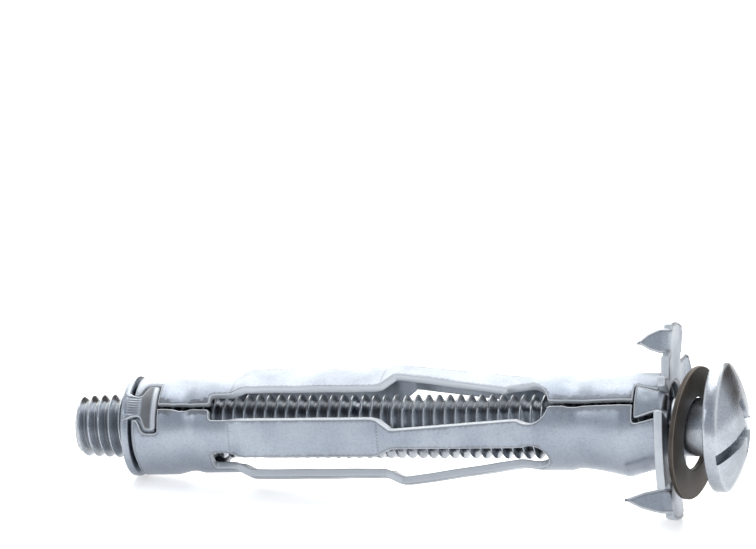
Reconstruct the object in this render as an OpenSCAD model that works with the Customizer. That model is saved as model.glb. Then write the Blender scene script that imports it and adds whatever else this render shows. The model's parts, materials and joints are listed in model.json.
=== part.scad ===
// Hollow-wall sleeve anchor, lying as it comes to rest: a slotted sleeve with five kneed legs,
// a threaded rear plate keyed into it, a clawed front plate dovetailed into it, and a loose
// washer on a recessed dome-head screw.
//
// Every piece is drawn about the sleeve's own axis: z runs from the rear plate's back face (0)
// towards the screw head, and the seam of the rolled sheet lies along +x. lay_down() then puts
// the assembly on the ground, with the head towards +X.

/* [Screw] */
// Diameter over the thread crests
thread_d = 5.85; // [5.6:0.05:6]
// Diameter at the root of the thread
thread_root_d = 4.6; // [4.4:0.05:4.8]
// Pitch of the thread
thread_pitch = 1; // [0.8:0.05:1.25]
// Diameter of the plain shank under the head
shank_d = 5.3; // [4.8:0.1:5.4]
// Length of the plain shank under the head
shank_len = 3.2; // [2:0.1:5]
// Length from the tip to the underside of the head
screw_len = 59.8; // [56:0.1:70]
// Length of the chamfer at the tip
tip_chamfer = 0.5; // [0.3:0.1:1]
// Diameter of the head
head_d = 11.8; // [10:0.1:12]
// Height of the head's rim
head_rim = 1.3; // [0.6:0.1:1.5]
// Height of the head's dome above the rim
head_dome = 1.75; // [1.2:0.05:2.4]
// Taper of the head's rim
head_taper = 0.15; // [0.1:0.05:0.5]
// Space between the front plate and the head, in which the washer hangs
head_gap = 3.55; // [3.4:0.05:5]
// Width of the driver slot
slot_w = 1.2; // [0.8:0.1:1.6]
// Depth of the driver slot below the top of the dome
slot_depth = 1.9; // [1:0.1:2]
// Span of the cross recess
cross_span = 6.4; // [4:0.2:7]
// Width of one wing of the cross recess
cross_w = 1.3; // [0.8:0.1:1.6]
// Depth of the cross recess below the top of the dome
cross_depth = 2.6; // [1.6:0.1:2.8]
// Turn of the driver slot about the screw
slot_turn = 58; // [0:1:180]

/* [Sleeve] */
// Thickness of the rolled sheet
sheet = 0.7; // [0.5:0.05:0.8]
// Outer diameter of the rear collar
collar_d = 9; // [8.8:0.1:9.6]
// Outer diameter of the sleeve where the legs leave it
tube_d = 8.76; // [8.6:0.02:9.2]
// Outer diameter in the rolled crease of each collar
crease_d = 8.42; // [8.4:0.02:8.7]
// Outer diameter of the front collar's flare
flare_d = 9.5; // [9:0.1:10]
// Place of the sleeve's rear edge
sleeve_start = 1.15; // [0.9:0.05:1.2]
// Place where the legs leave the rear collar
leg_start = 10.6; // [10:0.1:12]
// Place of the knee in the legs
knee_at = 26; // [22:0.5:30]
// Place where the legs meet the front collar
leg_end = 38.4; // [37:0.2:41]
// Place of the front plate's wall face, which closes the sleeve
wall_face = 50.4; // [49:0.2:56]
// Number of legs
legs = 5; // [4:1:5]
// Distance of the legs' outer faces from the axis, behind the knee
leg_reach = 5; // [4.7:0.02:5.2]
// Distance of the knees' outer faces from the axis
knee_reach = 5.6; // [5.2:0.05:6]
// Distance of the legs' outer faces from the axis, where they are drawn in at the front
neck_reach = 4.16; // [4.14:0.02:4.4]
// Width of a leg behind the knee
leg_w = 3.6; // [3:0.05:3.8]
// Width of a leg at its knee
knee_w = 1.8; // [1.4:0.1:2.6]
// Width of a leg in front of the knee, at its widest
fore_w = 2.6; // [2:0.1:3]
// Length of the rear collar's flat between its tab slots and its rolled crease
collar_flat = 1; // [0.6:0.1:1.2]
// Length of a crease's long slope
crease_long = 1.3; // [0.8:0.1:1.5]
// Length of a crease's valley
crease_flat = 0.6; // [0.4:0.1:0.8]
// Length of a crease's short slope
crease_short = 0.7; // [0.5:0.1:0.9]
// Distance from the legs to the end of the front collar's full ring
front_ring_len = 3.2; // [2.8:0.1:3.6]
// Distance from the wall face back to the top of the flare
flare_back = 3.4; // [2.8:0.1:3.6]
// Distance from the wall face back to the foot of the flare
flare_foot = 1.2; // [0.8:0.1:1.6]
// Width of the gap at the seam
seam_gap = 0.45; // [0.2:0.05:0.8]
// Width of the pocket at the rear end of each slot
pocket_w = 2.15; // [2:0.05:2.6]
// Length of that pocket
pocket_len = 2.2; // [1.6:0.1:3]
// Width of the pocket at the front end of each slot
front_pocket_w = 3.2; // [2.8:0.1:3.4]
// Width of the pocket at the front end of the seam
seam_pocket_w = 4; // [3.6:0.1:4.2]

/* [Rear plate] */
// Thickness of the plate
plate_t = 0.75; // [0.6:0.05:0.85]
// Diameter of the plate's rim
rim_d = 9.2; // [9:0.1:9.6]
// Length of the drawn collar that carries the thread
nut_collar_len = 2.4; // [1.6:0.1:3]
// Gap between that collar and the sleeve round it
nut_gap = 0.15; // [0.1:0.05:0.3]
// Width of the T-tab's neck
tee_neck_w = 2.1; // [1.6:0.1:2.6]
// Length of the T-tab's neck
tee_neck_len = 1.8; // [1.6:0.1:2.4]
// Width of the T-tab's bar
tee_bar_w = 4.6; // [3.2:0.1:4.8]
// Length of the T-tab's bar
tee_bar_len = 1.5; // [1.2:0.1:1.7]
// Length over which the bar's rear edges slant out from the neck
tee_slant = 0.5; // [0.3:0.05:0.7]

/* [Front plate] */
// Thickness of the front plate
claw_plate_t = 0.8; // [0.6:0.05:1]
// Distance from the axis to the ends of the arms
arm_reach = 8.95; // [8.4:0.05:10]
// Width of an arm
arm_w = 5.4; // [4.6:0.1:6]
// Radius of the curve at the end of an arm, on which the anchor rests
arm_end_r = 9.05; // [8.6:0.05:9.6]
// Distance from the axis to a side wing's edge
wing_reach = 5.9; // [5.4:0.1:6.4]
// Distance from the axis to the edge of the shoulder behind a wing
shoulder_reach = 4.3; // [4.1:0.1:4.8]
// Diameter of the hole for the screw
plate_hole_d = 7; // [6.8:0.1:7.4]
// Width of the dovetail tab where it leaves the plate
dove_root_w = 2; // [1.6:0.1:2.4]
// Width of the dovetail tab at its free end
dove_end_w = 3.4; // [2.6:0.1:3.8]
// Length of the dovetail tab behind the wall face
dove_len = 2; // [1.5:0.1:2.4]
// Distance across an arm's two folded claws
claw_span = 6; // [5.6:0.1:6.6]
// Length of a claw's root along the arm
claw_root_len = 2.35; // [1.8:0.05:2.5]
// Distance from an arm's end back to the start of its claws
claw_back = 3; // [2.8:0.1:3.4]
// Length of the longer claws behind the wall face
claw_long = 3.5; // [2.5:0.1:4.5]
// Length of the shorter claws behind the wall face
claw_short = 2.2; // [2:0.1:4]
// Turn of the arms from the seam
arm_turn = 67; // [55:1:80]

/* [Washer] */
// Outer diameter
washer_d = 12.1; // [11:0.1:13]
// Hole diameter
washer_hole_d = 6.6; // [6.3:0.1:7]
// Thickness
washer_t = 0.5; // [0.4:0.1:1]
// Distance of the washer behind the middle of the space it hangs in
washer_back = 0.15; // [0:0.05:0.3]
// Swing of the hanging washer towards the seam side
washer_swing = 9; // [0:1:10]
// Lean of the hanging washer towards the head
washer_lean = 4; // [0:1:6]

/* [Fits and lie] */
// Gap round each T-tab in its slot
tab_gap = 0.2; // [0.1:0.05:0.25]
// Gap round each dovetail tab in its notch
dove_gap = 0.3; // [0.15:0.05:0.35]
// Radial running clearance of the screw in its thread
thread_gap = 0.05; // [0.03:0.01:0.1]
// Gap between the loose screw or washer and what carries it
loose_gap = 0.03; // [0.02:0.01:0.1]
// Height of the seam above the horizontal, as the anchor lies
seam_rise = 36; // [20:1:50]

/* [Hidden] */
$fn = 96;

zinc = "lightsteelblue";
steel = "silver";
washer_grey = "dimgray";

// How far a cutting shape passes the face that it cuts
over = 1;
// How far a tab's root is sunk into the plate that carries it
tab_sink = 0.4;

// Screw
tip_z = wall_face + claw_plate_t + head_gap - screw_len;
head_z = tip_z + screw_len;
thread_end = head_z - shank_len;
run_out = (thread_d - shank_d) / 2;
tip_r = thread_d / 2 - tip_chamfer;
edge_bevel = 0.1;

// The thread stands as a row of V-shaped rings, each with a flat crest of an eighth of the pitch
crest_flat = thread_pitch / 8;
thread_flank = (thread_pitch - crest_flat) / 2;
thread_start = tip_z + tip_chamfer;
thread_turns = floor((thread_end - run_out - thread_start - crest_flat) / thread_pitch);
thread_line = [for (turn = [0 : thread_turns - 1])
    let (z = thread_start + turn * thread_pitch)
    each [
        [thread_d / 2, z],
        [thread_d / 2, z + crest_flat],
        [thread_root_d / 2, z + crest_flat + thread_flank],
    ]];

// Head
head_top = head_z + head_rim + head_dome;
dome_foot = head_d / 2 - head_taper;
dome_r = (pow(dome_foot, 2) + pow(head_dome, 2)) / (2 * head_dome);
dome_span = asin(dome_foot / dome_r);
dome_steps = 12;
dome_line = [for (i = [dome_steps : -1 : 1])
    let (a = i * dome_span / dome_steps)
    [dome_r * sin(a), head_top - dome_r * (1 - cos(a))]];

// The screw rests on the lower edge of the front plate's hole
sag = asin(((plate_hole_d - thread_d) / 2 - loose_gap) / wall_face);

// The anchor lies on the rear plate's rim and on one arm of the front plate
tilt = atan((arm_reach - rim_d / 2) / wall_face);
roll = -90 - seam_rise;
back_x = tip_z * cos(tilt - sag) - tip_r * sin(tilt - sag);
front_x = head_top * cos(tilt - sag);
lift = rim_d / 2 * cos(tilt);

// Washer
washer_z = (wall_face + claw_plate_t + head_z) / 2 - washer_back;
washer_tip = sqrt(pow(washer_swing, 2) + pow(washer_lean, 2));
washer_drop = washer_hole_d / 2 * cos(washer_tip) - washer_t / 2 * sin(washer_tip)
    - shank_d / 2 - loose_gap;

// Rear plate's drawn collar, which fits inside the sleeve
nut_collar_d = collar_d - 2 * (sheet + nut_gap);

// Sleeve
collar_r = collar_d / 2;
tube_r = tube_d / 2;
crease_r = crease_d / 2;
flare_r = flare_d / 2;
tee_end = tee_neck_len + tee_bar_len;
rear_crease = tee_end + collar_flat + crease_long;
front_ring_end = leg_end + front_ring_len;
front_crease = front_ring_end + crease_short;

// The legs and slots are evenly spaced in the flat sheet, so the seam's gap adds to its slot
leg_pitch = (PI * tube_d - seam_gap) / legs;
leg_turns = [for (i = [0 : legs - 1]) sheet_turn((i + 0.5) * leg_pitch)];
slot_turns = [for (i = [1 : legs - 1]) sheet_turn(i * leg_pitch)];

rear_wall = [
    [collar_r, sleeve_start],
    [collar_r, tee_end + collar_flat],
    [crease_r, rear_crease],
    [crease_r, rear_crease + crease_flat],
    [tube_r, rear_crease + crease_flat + crease_short],
    [tube_r, leg_start + 0.1],
];
front_wall = [
    [tube_r, leg_end + 0.6],
    [tube_r, front_ring_end],
    [crease_r, front_crease],
    [crease_r, front_crease + crease_flat],
    [flare_r, wall_face - flare_back],
    [tube_r, wall_face - flare_foot],
    [tube_r, wall_face - 0.1],
];

// A leg's outer face, from the rear collar to the front one
leg_root = tube_r - 0.06;
leg_line = [
    [leg_start - 1.2, leg_root],
    [leg_start - 0.4, leg_root],
    [leg_start - 0.1, leg_root + 0.08],
    [leg_start + 0.9, leg_reach - 0.08],
    [leg_start + 1.3, leg_reach],
    [knee_at - 1.6, leg_reach],
    [knee_at - 1.35, leg_reach + 0.06],
    [knee_at - 0.35, knee_reach - 0.06],
    [knee_at, knee_reach],
    [knee_at + 0.7, knee_reach - 0.04],
    [leg_end - 1.5, neck_reach + 0.04],
    [leg_end - 1, neck_reach],
    [leg_end - 0.6, neck_reach + 0.05],
    [leg_end + 0.7, leg_root],
    [leg_end + 1.3, leg_root],
];

// A leg's half-width along its length
leg_edge = [
    [leg_start - 1.2, 0.62 * leg_w / 2],
    [leg_start - 0.3, 0.95 * leg_w / 2],
    [leg_start + 0.8, leg_w / 2],
    [knee_at - 1.9, leg_w / 2],
    [knee_at - 0.9, 0.76 * leg_w / 2],
    [knee_at, knee_w / 2],
    [leg_end - 1.8, fore_w / 2],
    [leg_end - 1.2, 0.97 * fore_w / 2],
    [leg_end - 0.3, 0.76 * fore_w / 2],
    [leg_end + 1.3, 0.74 * fore_w / 2],
];

// The turn from the seam's middle to a place along the flat sheet, measured from its edge
function sheet_turn(along) = (seam_gap / 2 + along) / tube_r * 180 / PI;

// Lays a piece drawn about the sleeve's axis on the ground, the head end raised
module lay_down(drop = 0)
    translate([-(back_x + front_x) / 2, 0, lift])
        rotate([0, drop - tilt, 0])
            rotate([0, 90, 0])
                rotate([0, 0, roll])
                    children();

// A revolved wall of the sheet's thickness inside a line of [radius, z] points
module rolled_wall(line)
    rotate_extrude()
        polygon(concat(line, [for (i = [len(line) - 1 : -1 : 0]) [line[i][0] - sheet, line[i][1]]]));

// A block with the outline of 2D children drawn as [z, across], reaching out along +x
module cut_outward(from, to)
    translate([from, 0, 0])
        rotate([90, 0, 90])
            rotate([0, 0, 90])
                linear_extrude(to - from)
                    children();

// The curved slice of a tube that 2D children drawn as [z, across] mark out
module tube_tab(outer_r, thickness, z0, z1)
    intersection() {
        translate([0, 0, z0])
            difference() {
                cylinder(r = outer_r, h = z1 - z0);
                translate([0, 0, -over])
                    cylinder(r = outer_r - thickness, h = z1 - z0 + 2 * over);
            }
        cut_outward(over, outer_r + over)
            children();
    }

// Outline of a T-tab, and of its slot when it is grown by a gap
module tee_outline(grow = 0) {
    root = plate_t - tab_sink;
    bar_start = tee_neck_len - grow;
    half_neck = tee_neck_w / 2 + grow;
    half_bar = tee_bar_w / 2 + grow;
    polygon([
        [root, -half_neck],
        [bar_start, -half_neck],
        [bar_start + tee_slant, -half_bar],
        [tee_end + grow, -half_bar],
        [tee_end + grow, half_bar],
        [bar_start + tee_slant, half_bar],
        [bar_start, half_neck],
        [root, half_neck],
    ]);
}

// Outline of a dovetail tab, and of its notch when it is grown by a gap
module dove_outline(grow = 0) {
    end_z = wall_face - dove_len - grow;
    root_z = wall_face + tab_sink;
    flank_grow = 1.4 * grow;
    polygon([
        [end_z, -dove_end_w / 2 - grow],
        [root_z, -dove_root_w / 2 - flank_grow],
        [root_z, dove_root_w / 2 + flank_grow],
        [end_z, dove_end_w / 2 + grow],
    ]);
}

// Outline of the pocket at a slot's rear end, with rounded inner corners
module rear_pocket_outline(width) {
    corner = 0.6;
    end_z = leg_start - pocket_len;
    for (side = [-1, 1])
        translate([end_z + corner, side * (width / 2 - corner)])
            circle(r = corner);
    translate([end_z + corner, -width / 2])
        square([pocket_len + over, width]);
    translate([end_z, corner - width / 2])
        square([corner, width - 2 * corner]);
}

// Outline of the pocket at a slot's front end, which is a half circle
module front_pocket_outline(width) {
    reach = width / 2;
    translate([leg_end, 0])
        circle(r = reach);
    translate([leg_end - reach, -reach])
        square([reach, 2 * reach]);
}

// One leg: the bent line of the sheet, cut to the leg's changing width
module leg()
    intersection() {
        translate([0, leg_w / 2 + over, 0])
            rotate([90, 0, 0])
                linear_extrude(leg_w + 2 * over)
                    polygon(concat(
                        [for (p = leg_line) [p[1], p[0]]],
                        [for (i = [len(leg_line) - 1 : -1 : 0])
                            [leg_line[i][1] - sheet, leg_line[i][0]]]
                    ));
        cut_outward(over, knee_reach + over)
            polygon(concat(
                leg_edge,
                [for (i = [len(leg_edge) - 1 : -1 : 0]) [leg_edge[i][0], -leg_edge[i][1]]]
            ));
    }

// The rolled sheet: two collars joined by the kneed legs, open along the seam
module sleeve()
    color(zinc)
        lay_down() {
            difference() {
                union() {
                    rolled_wall(rear_wall);
                    rolled_wall(front_wall);
                }
                cut_outward(over, flare_r + over) {
                    rear_pocket_outline(pocket_w + seam_gap);
                    front_pocket_outline(seam_pocket_w);
                }
                for (turn = slot_turns)
                    rotate([0, 0, turn])
                        cut_outward(over, flare_r + over) {
                            rear_pocket_outline(pocket_w);
                            front_pocket_outline(front_pocket_w);
                        }
                for (side = [0, 180])
                    rotate([0, 0, side])
                        cut_outward(over, flare_r + over) {
                            tee_outline(tab_gap);
                            dove_outline(dove_gap);
                        }
                translate([over, -seam_gap / 2, 0])
                    cube([flare_r, seam_gap, wall_face]);
            }
            for (turn = leg_turns)
                rotate([0, 0, turn])
                    leg();
        }

// The threaded plate that draws the legs out, keyed into the rear collar by two T-tabs
module rear_plate()
    color(zinc)
        lay_down(sag)
            difference() {
                union() {
                    cylinder(d = rim_d, h = plate_t);
                    cylinder(d = nut_collar_d, h = plate_t + nut_collar_len);
                    for (side = [0, 180])
                        rotate([0, 0, side])
                            tube_tab(collar_r, sheet, plate_t - tab_sink, tee_end)
                                tee_outline();
                }
                translate([0, 0, -over])
                    cylinder(d = thread_d + 2 * thread_gap, h = plate_t + nut_collar_len + 2 * over);
            }

// Outline of an arm with its curved end
module arm_outline()
    intersection() {
        translate([-arm_w / 2, 0])
            square([arm_w, arm_reach]);
        translate([0, arm_reach - arm_end_r])
            circle(r = arm_end_r);
    }

// Half of the front plate's outline: an arm with the pointed wing on its right
module plate_half() {
    shoulder_start = -4;
    wing_start = -0.95;
    wing_end = arm_reach - claw_back;
    arm_outline();
    polygon([
        [0, shoulder_start],
        [shoulder_reach, shoulder_start],
        [shoulder_reach, wing_start],
        [wing_reach, wing_start],
        [wing_reach, wing_start + 1.75],
        [wing_reach - 0.2, wing_start + 3.65],
        [wing_reach - 0.6, wing_end - 1.35],
        [wing_reach - 1.15, wing_end + 0.25],
        [arm_w / 2 + 0.1, wing_end - 0.3],
        [0, wing_end - 0.3],
    ]);
}

// A claw folded back from an arm's edge, as a fin in the [z, along the arm] plane
module claw(reach)
    rotate([90, 0, 90])
        linear_extrude(claw_plate_t)
            let (top = wall_face + claw_plate_t, tip = wall_face - reach)
            let (root = arm_reach - claw_back, heel = root + claw_root_len)
            polygon([
                [root, top],
                [root, wall_face],
                [heel - 1.25, tip],
                [heel - 0.94, tip + 0.18 * reach],
                [heel - 0.48, tip + 0.44 * reach],
                [heel - 0.21, tip + 0.7 * reach],
                [heel, wall_face],
                [heel, top],
            ]);

// The stamped plate that stops against the wall: two arms, two wings, four claws and two
// dovetail tabs that lock into the front collar
module front_plate()
    color(zinc)
        lay_down()
            difference() {
                union() {
                    rotate([0, 0, 90 - arm_turn])
                        for (half = [0, 180])
                            rotate([0, 0, half]) {
                                translate([0, 0, wall_face])
                                    linear_extrude(claw_plate_t)
                                        plate_half();
                                translate([claw_span / 2 - claw_plate_t, 0, 0])
                                    claw(claw_long);
                                translate([-claw_span / 2, 0, 0])
                                    claw(claw_short);
                            }
                    for (side = [0, 180])
                        rotate([0, 0, side])
                            tube_tab(tube_r, sheet, wall_face - dove_len, wall_face + tab_sink)
                                dove_outline();
                }
                translate([0, 0, wall_face - over])
                    cylinder(d = plate_hole_d, h = claw_plate_t + 2 * over);
            }

// The dome-head screw, its thread drawn as rings
module screw()
    color(steel)
        lay_down(sag)
            difference() {
                rotate_extrude()
                    polygon(concat(
                        [[0, tip_z], [tip_r, tip_z]],
                        thread_line,
                        [
                            [thread_d / 2, thread_start + thread_turns * thread_pitch],
                            [thread_d / 2, thread_end - run_out],
                            [shank_d / 2, thread_end],
                            [shank_d / 2, head_z],
                            [head_d / 2 - edge_bevel, head_z],
                            [head_d / 2, head_z + 3 * edge_bevel],
                        ],
                        dome_line,
                        [[0, head_top]]
                    ));
                rotate([0, 0, slot_turn]) {
                    translate([-head_d, -slot_w / 2, head_top - slot_depth])
                        cube([2 * head_d, slot_w, slot_depth + over]);
                    for (wing = [0, 90])
                        rotate([90, 0, wing])
                            translate([0, 0, -cross_w / 2])
                                linear_extrude(cross_w)
                                    polygon([
                                        [-cross_span / 2, head_top + over],
                                        [-cross_span / 4, head_top - cross_depth],
                                        [cross_span / 4, head_top - cross_depth],
                                        [cross_span / 2, head_top + over],
                                    ]);
                }
            }

// The flat washer, hanging loose on the shank
module washer()
    color(washer_grey)
        translate([-(back_x + front_x) / 2, 0, lift])
            rotate([0, sag - tilt, 0])
                translate([washer_z, 0, -washer_drop])
                    rotate([0, washer_lean, -washer_swing])
                        rotate([0, 90, 0])
                            difference() {
                                translate([0, 0, -washer_t / 2])
                                    cylinder(d = washer_d, h = washer_t);
                                translate([0, 0, -washer_t])
                                    cylinder(d = washer_hole_d, h = 2 * washer_t);
                            }

sleeve();
rear_plate();
front_plate();
screw();
washer();
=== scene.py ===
"""Dresses a hollow-wall sleeve anchor: rolled sheet, stamped plates, rolled thread and plating.

Each piece is drawn in millimetres about its own axis, with z from the rear plate's back face
towards the screw head and x towards the sleeve's seam, and is then laid where the frame has it.
"""
import json
import logging
import math
from dataclasses import dataclass, field
from enum import Enum
from typing import Callable

import bmesh
import bpy
import numpy as np
from mathutils import Matrix, Vector
from mathutils.geometry import delaunay_2d_cdt


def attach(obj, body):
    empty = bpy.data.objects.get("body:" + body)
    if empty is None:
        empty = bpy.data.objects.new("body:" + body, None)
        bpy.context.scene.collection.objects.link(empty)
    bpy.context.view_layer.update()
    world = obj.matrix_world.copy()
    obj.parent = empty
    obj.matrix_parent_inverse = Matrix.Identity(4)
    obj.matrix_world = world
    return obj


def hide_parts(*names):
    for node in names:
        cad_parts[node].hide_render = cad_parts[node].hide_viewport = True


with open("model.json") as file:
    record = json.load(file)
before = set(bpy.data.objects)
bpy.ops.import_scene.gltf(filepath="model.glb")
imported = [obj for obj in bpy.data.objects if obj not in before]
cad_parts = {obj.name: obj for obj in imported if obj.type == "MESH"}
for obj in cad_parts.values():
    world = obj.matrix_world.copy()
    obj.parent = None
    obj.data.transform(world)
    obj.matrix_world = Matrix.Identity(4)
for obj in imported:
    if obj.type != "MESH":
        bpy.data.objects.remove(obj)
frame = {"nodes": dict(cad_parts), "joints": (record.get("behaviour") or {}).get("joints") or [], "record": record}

log = logging.getLogger("anchor")

MM = 0.001
TURN = 2 * math.pi
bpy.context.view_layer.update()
# z of the front plate's face that stops on the wall
WALL_FACE = 50.4
# how far round the axis the seam stands, from the viewer's side upwards
SEAM_RISE = math.radians(36)

Points = list[tuple[float, float]]
Colour = tuple[float, float, float]
Fold = Callable[[np.ndarray, np.ndarray, np.ndarray], np.ndarray]


class Slot(Enum):
    """The record's material slots."""

    SHEET = "zinc_sheet"
    PLATE = "zinc_plate"
    SCREW = "zinc_screw"
    WASHER = "dark_washer"


class Body(Enum):
    """The frame's moving bodies."""

    ANCHOR = "anchor"
    WASHER = "hanging_washer"
    SCREW = "screw"


# ---------------------------------------------------------------- where the pieces lie


@dataclass(frozen=True)
class Axis:
    """A line that pieces are drawn about, in metres.

    Attributes:
        foot: The point where z is 0.
        along: The direction of z.
    """

    foot: Vector
    along: Vector

    def matrix(self) -> Matrix:
        """Gives the placement of a piece that is drawn in millimetres about this axis.

        Returns:
            The matrix from the drawing's millimetres to the frame's metres.
        """
        towards_viewer = Vector((0, -1, 0))
        upward = self.along.cross(Vector((0, 1, 0))).normalized()
        seam = towards_viewer * math.cos(SEAM_RISE) + upward * math.sin(SEAM_RISE)
        across = self.along.cross(seam)
        turn = Matrix((seam, across, self.along)).transposed().to_4x4()
        return Matrix.Translation(self.foot) @ turn @ Matrix.Scale(MM, 4)


def sleeve_axis() -> Axis:
    """Gives the sleeve's axis from the mount at the front plate's wall face.

    Returns:
        The axis.
    """
    mount = next(m for m in frame["record"]["mounts"] if m["name"] == "wall_hole")
    along = Vector(mount["axis"]).normalized()
    return Axis(Vector(mount["pos_m"]) - along * WALL_FACE * MM, along)


def screw_axis(head_z: float) -> Axis:
    """Gives the screw's axis from its turning joint.

    Args:
        head_z: Place of the underside of the head, where the joint is stated.

    Returns:
        The axis.
    """
    joint = next(j for j in frame["joints"] if j["name"] == "screw_turn")
    along = Vector(joint["axis"]).normalized()
    return Axis(Vector(joint["pos_m"]) - along * head_z * MM, along)


# ---------------------------------------------------------------- curves and outlines


def smoothstep(low: float, high: float, value: np.ndarray) -> np.ndarray:
    """Rises smoothly from 0 at low to 1 at high.

    Args:
        low: Where the rise starts.
        high: Where it ends.
        value: The values to weigh.

    Returns:
        The weights.
    """
    share = np.clip((value - low) / (high - low), 0, 1)
    return share * share * (3 - 2 * share)


@dataclass
class SoftLine:
    """A line of straight runs with softened bends, for a sheet's height along z.

    Attributes:
        points: The line's (z, height) corners.
        softness: How far a bend spreads along z.
        step: Spacing of the samples.
        z: Places of the samples.
        height: The line's height at each of them.
        slope: Its slope there.
    """

    points: Points
    softness: float
    step: float = 0.02
    z: np.ndarray = field(init=False)
    height: np.ndarray = field(init=False)
    slope: np.ndarray = field(init=False)

    def __post_init__(self) -> None:
        """Samples the line and softens it."""
        corners = np.array(self.points)
        margin = 4 * self.softness
        self.z = np.arange(corners[0, 0] - margin, corners[-1, 0] + margin, self.step)
        raw = np.interp(self.z, corners[:, 0], corners[:, 1])
        # a bell curve smooths the line, cut off at three times its softness
        reach = int(3 * self.softness / self.step)
        bell = np.exp(-0.5 * (np.arange(-reach, reach + 1) * self.step / self.softness) ** 2)
        padded = np.concatenate([np.full(reach, raw[0]), raw, np.full(reach, raw[-1])])
        self.height = np.convolve(padded, bell / bell.sum(), mode="valid")
        self.slope = np.gradient(self.height, self.step)

    def lift(self, z: np.ndarray, depth: np.ndarray) -> tuple[np.ndarray, np.ndarray]:
        """Gives a point at a depth under the line, measured square to it.

        Args:
            z: Places along the line.
            depth: Heights over the line, negative below it.

        Returns:
            The height and the place along z.
        """
        height = np.interp(z, self.z, self.height)
        slope = np.interp(z, self.z, self.slope)
        length = np.sqrt(1 + slope * slope)
        return height + depth / length, z - depth * slope / length


def rounded(points: Points, radius: float, steps: int = 4) -> Points:
    """Rounds the corners of a line, and leaves its two ends as they are.

    Args:
        points: The corners.
        radius: How far before and after a corner the curve starts.
        steps: Straight runs in each curve.

    Returns:
        The rounded line.
    """
    corners = [np.array(p, float) for p in points]
    result: Points = [tuple(corners[0])]
    for previous, corner, following in zip(corners, corners[1:], corners[2:]):
        before = previous - corner
        after = following - corner
        reach_in = min(radius, 0.45 * np.linalg.norm(before))
        reach_out = min(radius, 0.45 * np.linalg.norm(after))
        start = corner + before / np.linalg.norm(before) * reach_in
        end = corner + after / np.linalg.norm(after) * reach_out
        for k in range(steps + 1):
            t = k / steps
            result.append(tuple((1 - t) ** 2 * start + 2 * t * (1 - t) * corner + t * t * end))
    result.append(tuple(corners[-1]))
    return result


def arc(centre: tuple[float, float], radius: float, start: float, end: float, steps: int) -> Points:
    """Gives points on an arc.

    Args:
        centre: The arc's centre.
        radius: Its radius.
        start: First angle in degrees.
        end: Last angle in degrees.
        steps: Straight runs.

    Returns:
        The points from start to end.
    """
    angles = [math.radians(start + (end - start) * k / steps) for k in range(steps + 1)]
    return [(centre[0] + radius * math.cos(a), centre[1] + radius * math.sin(a)) for a in angles]


def signed_area(loop: np.ndarray) -> float:
    """Gives a loop's area, positive where it runs anticlockwise."""
    following = np.roll(loop, -1, axis=0)
    return 0.5 * float(np.sum(loop[:, 0] * following[:, 1] - following[:, 0] * loop[:, 1]))


def inside(points: np.ndarray, loops: list[np.ndarray]) -> np.ndarray:
    """Tells which points lie inside an outline with holes, by counting crossings.

    Args:
        points: The points, one a row.
        loops: The outline and its holes.

    Returns:
        True for each point inside.
    """
    found = np.zeros(len(points), bool)
    x, y = points[:, 0], points[:, 1]
    for loop in loops:
        following = np.roll(loop, -1, axis=0)
        for (x0, y0), (x1, y1) in zip(loop, following):
            if y0 == y1:
                continue
            crosses = (y0 > y) != (y1 > y)
            found ^= crosses & (x < (x1 - x0) * (y - y0) / (y1 - y0) + x0)
    return found


# ---------------------------------------------------------------- meshes


@dataclass
class Shell:
    """Vertices and faces of one or more closed surfaces, with values stored at the vertices.

    Attributes:
        points: Vertex places in millimetres.
        faces: Vertex numbers of each face.
        values: Named values, one for each vertex.
    """

    points: np.ndarray
    faces: list[tuple[int, ...]]
    values: dict[str, np.ndarray] = field(default_factory=dict)

    def add(self, other: "Shell") -> None:
        """Adds another shell's surfaces.

        Args:
            other: The shell to add.
        """
        offset = len(self.points)
        for name in set(self.values) | set(other.values):
            mine = self.values.get(name, np.zeros(offset))
            theirs = other.values.get(name, np.zeros(len(other.points)))
            self.values[name] = np.concatenate([mine, theirs])
        self.points = np.concatenate([self.points, other.points])
        self.faces += [tuple(i + offset for i in face) for face in other.faces]

    def to_object(self, name: str, placing: Matrix, sharp: float) -> bpy.types.Object:
        """Makes a Blender object of the shell.

        Args:
            name: The object's name.
            placing: The matrix from millimetres to the frame.
            sharp: Angle in degrees past which an edge is shaded sharp.

        Returns:
            The object, at the origin with its place in its mesh.
        """
        mesh = bpy.data.meshes.new(name)
        mesh.from_pydata([tuple(p) for p in self.points], [], self.faces)
        for key, value in self.values.items():
            layer = mesh.attributes.new(key, "FLOAT", "POINT")
            layer.data.foreach_set("value", value.astype(np.float32))
        work = bmesh.new()
        work.from_mesh(mesh)
        bmesh.ops.remove_doubles(work, verts=work.verts, dist=1e-5)
        bmesh.ops.dissolve_degenerate(work, edges=work.edges, dist=1e-6)
        work.to_mesh(mesh)
        work.free()
        mesh.transform(placing)
        mesh.shade_smooth()
        mesh.set_sharp_from_angle(angle=math.radians(sharp))
        piece = bpy.data.objects.new(name, mesh)
        bpy.context.scene.collection.objects.link(piece)
        return piece


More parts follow.
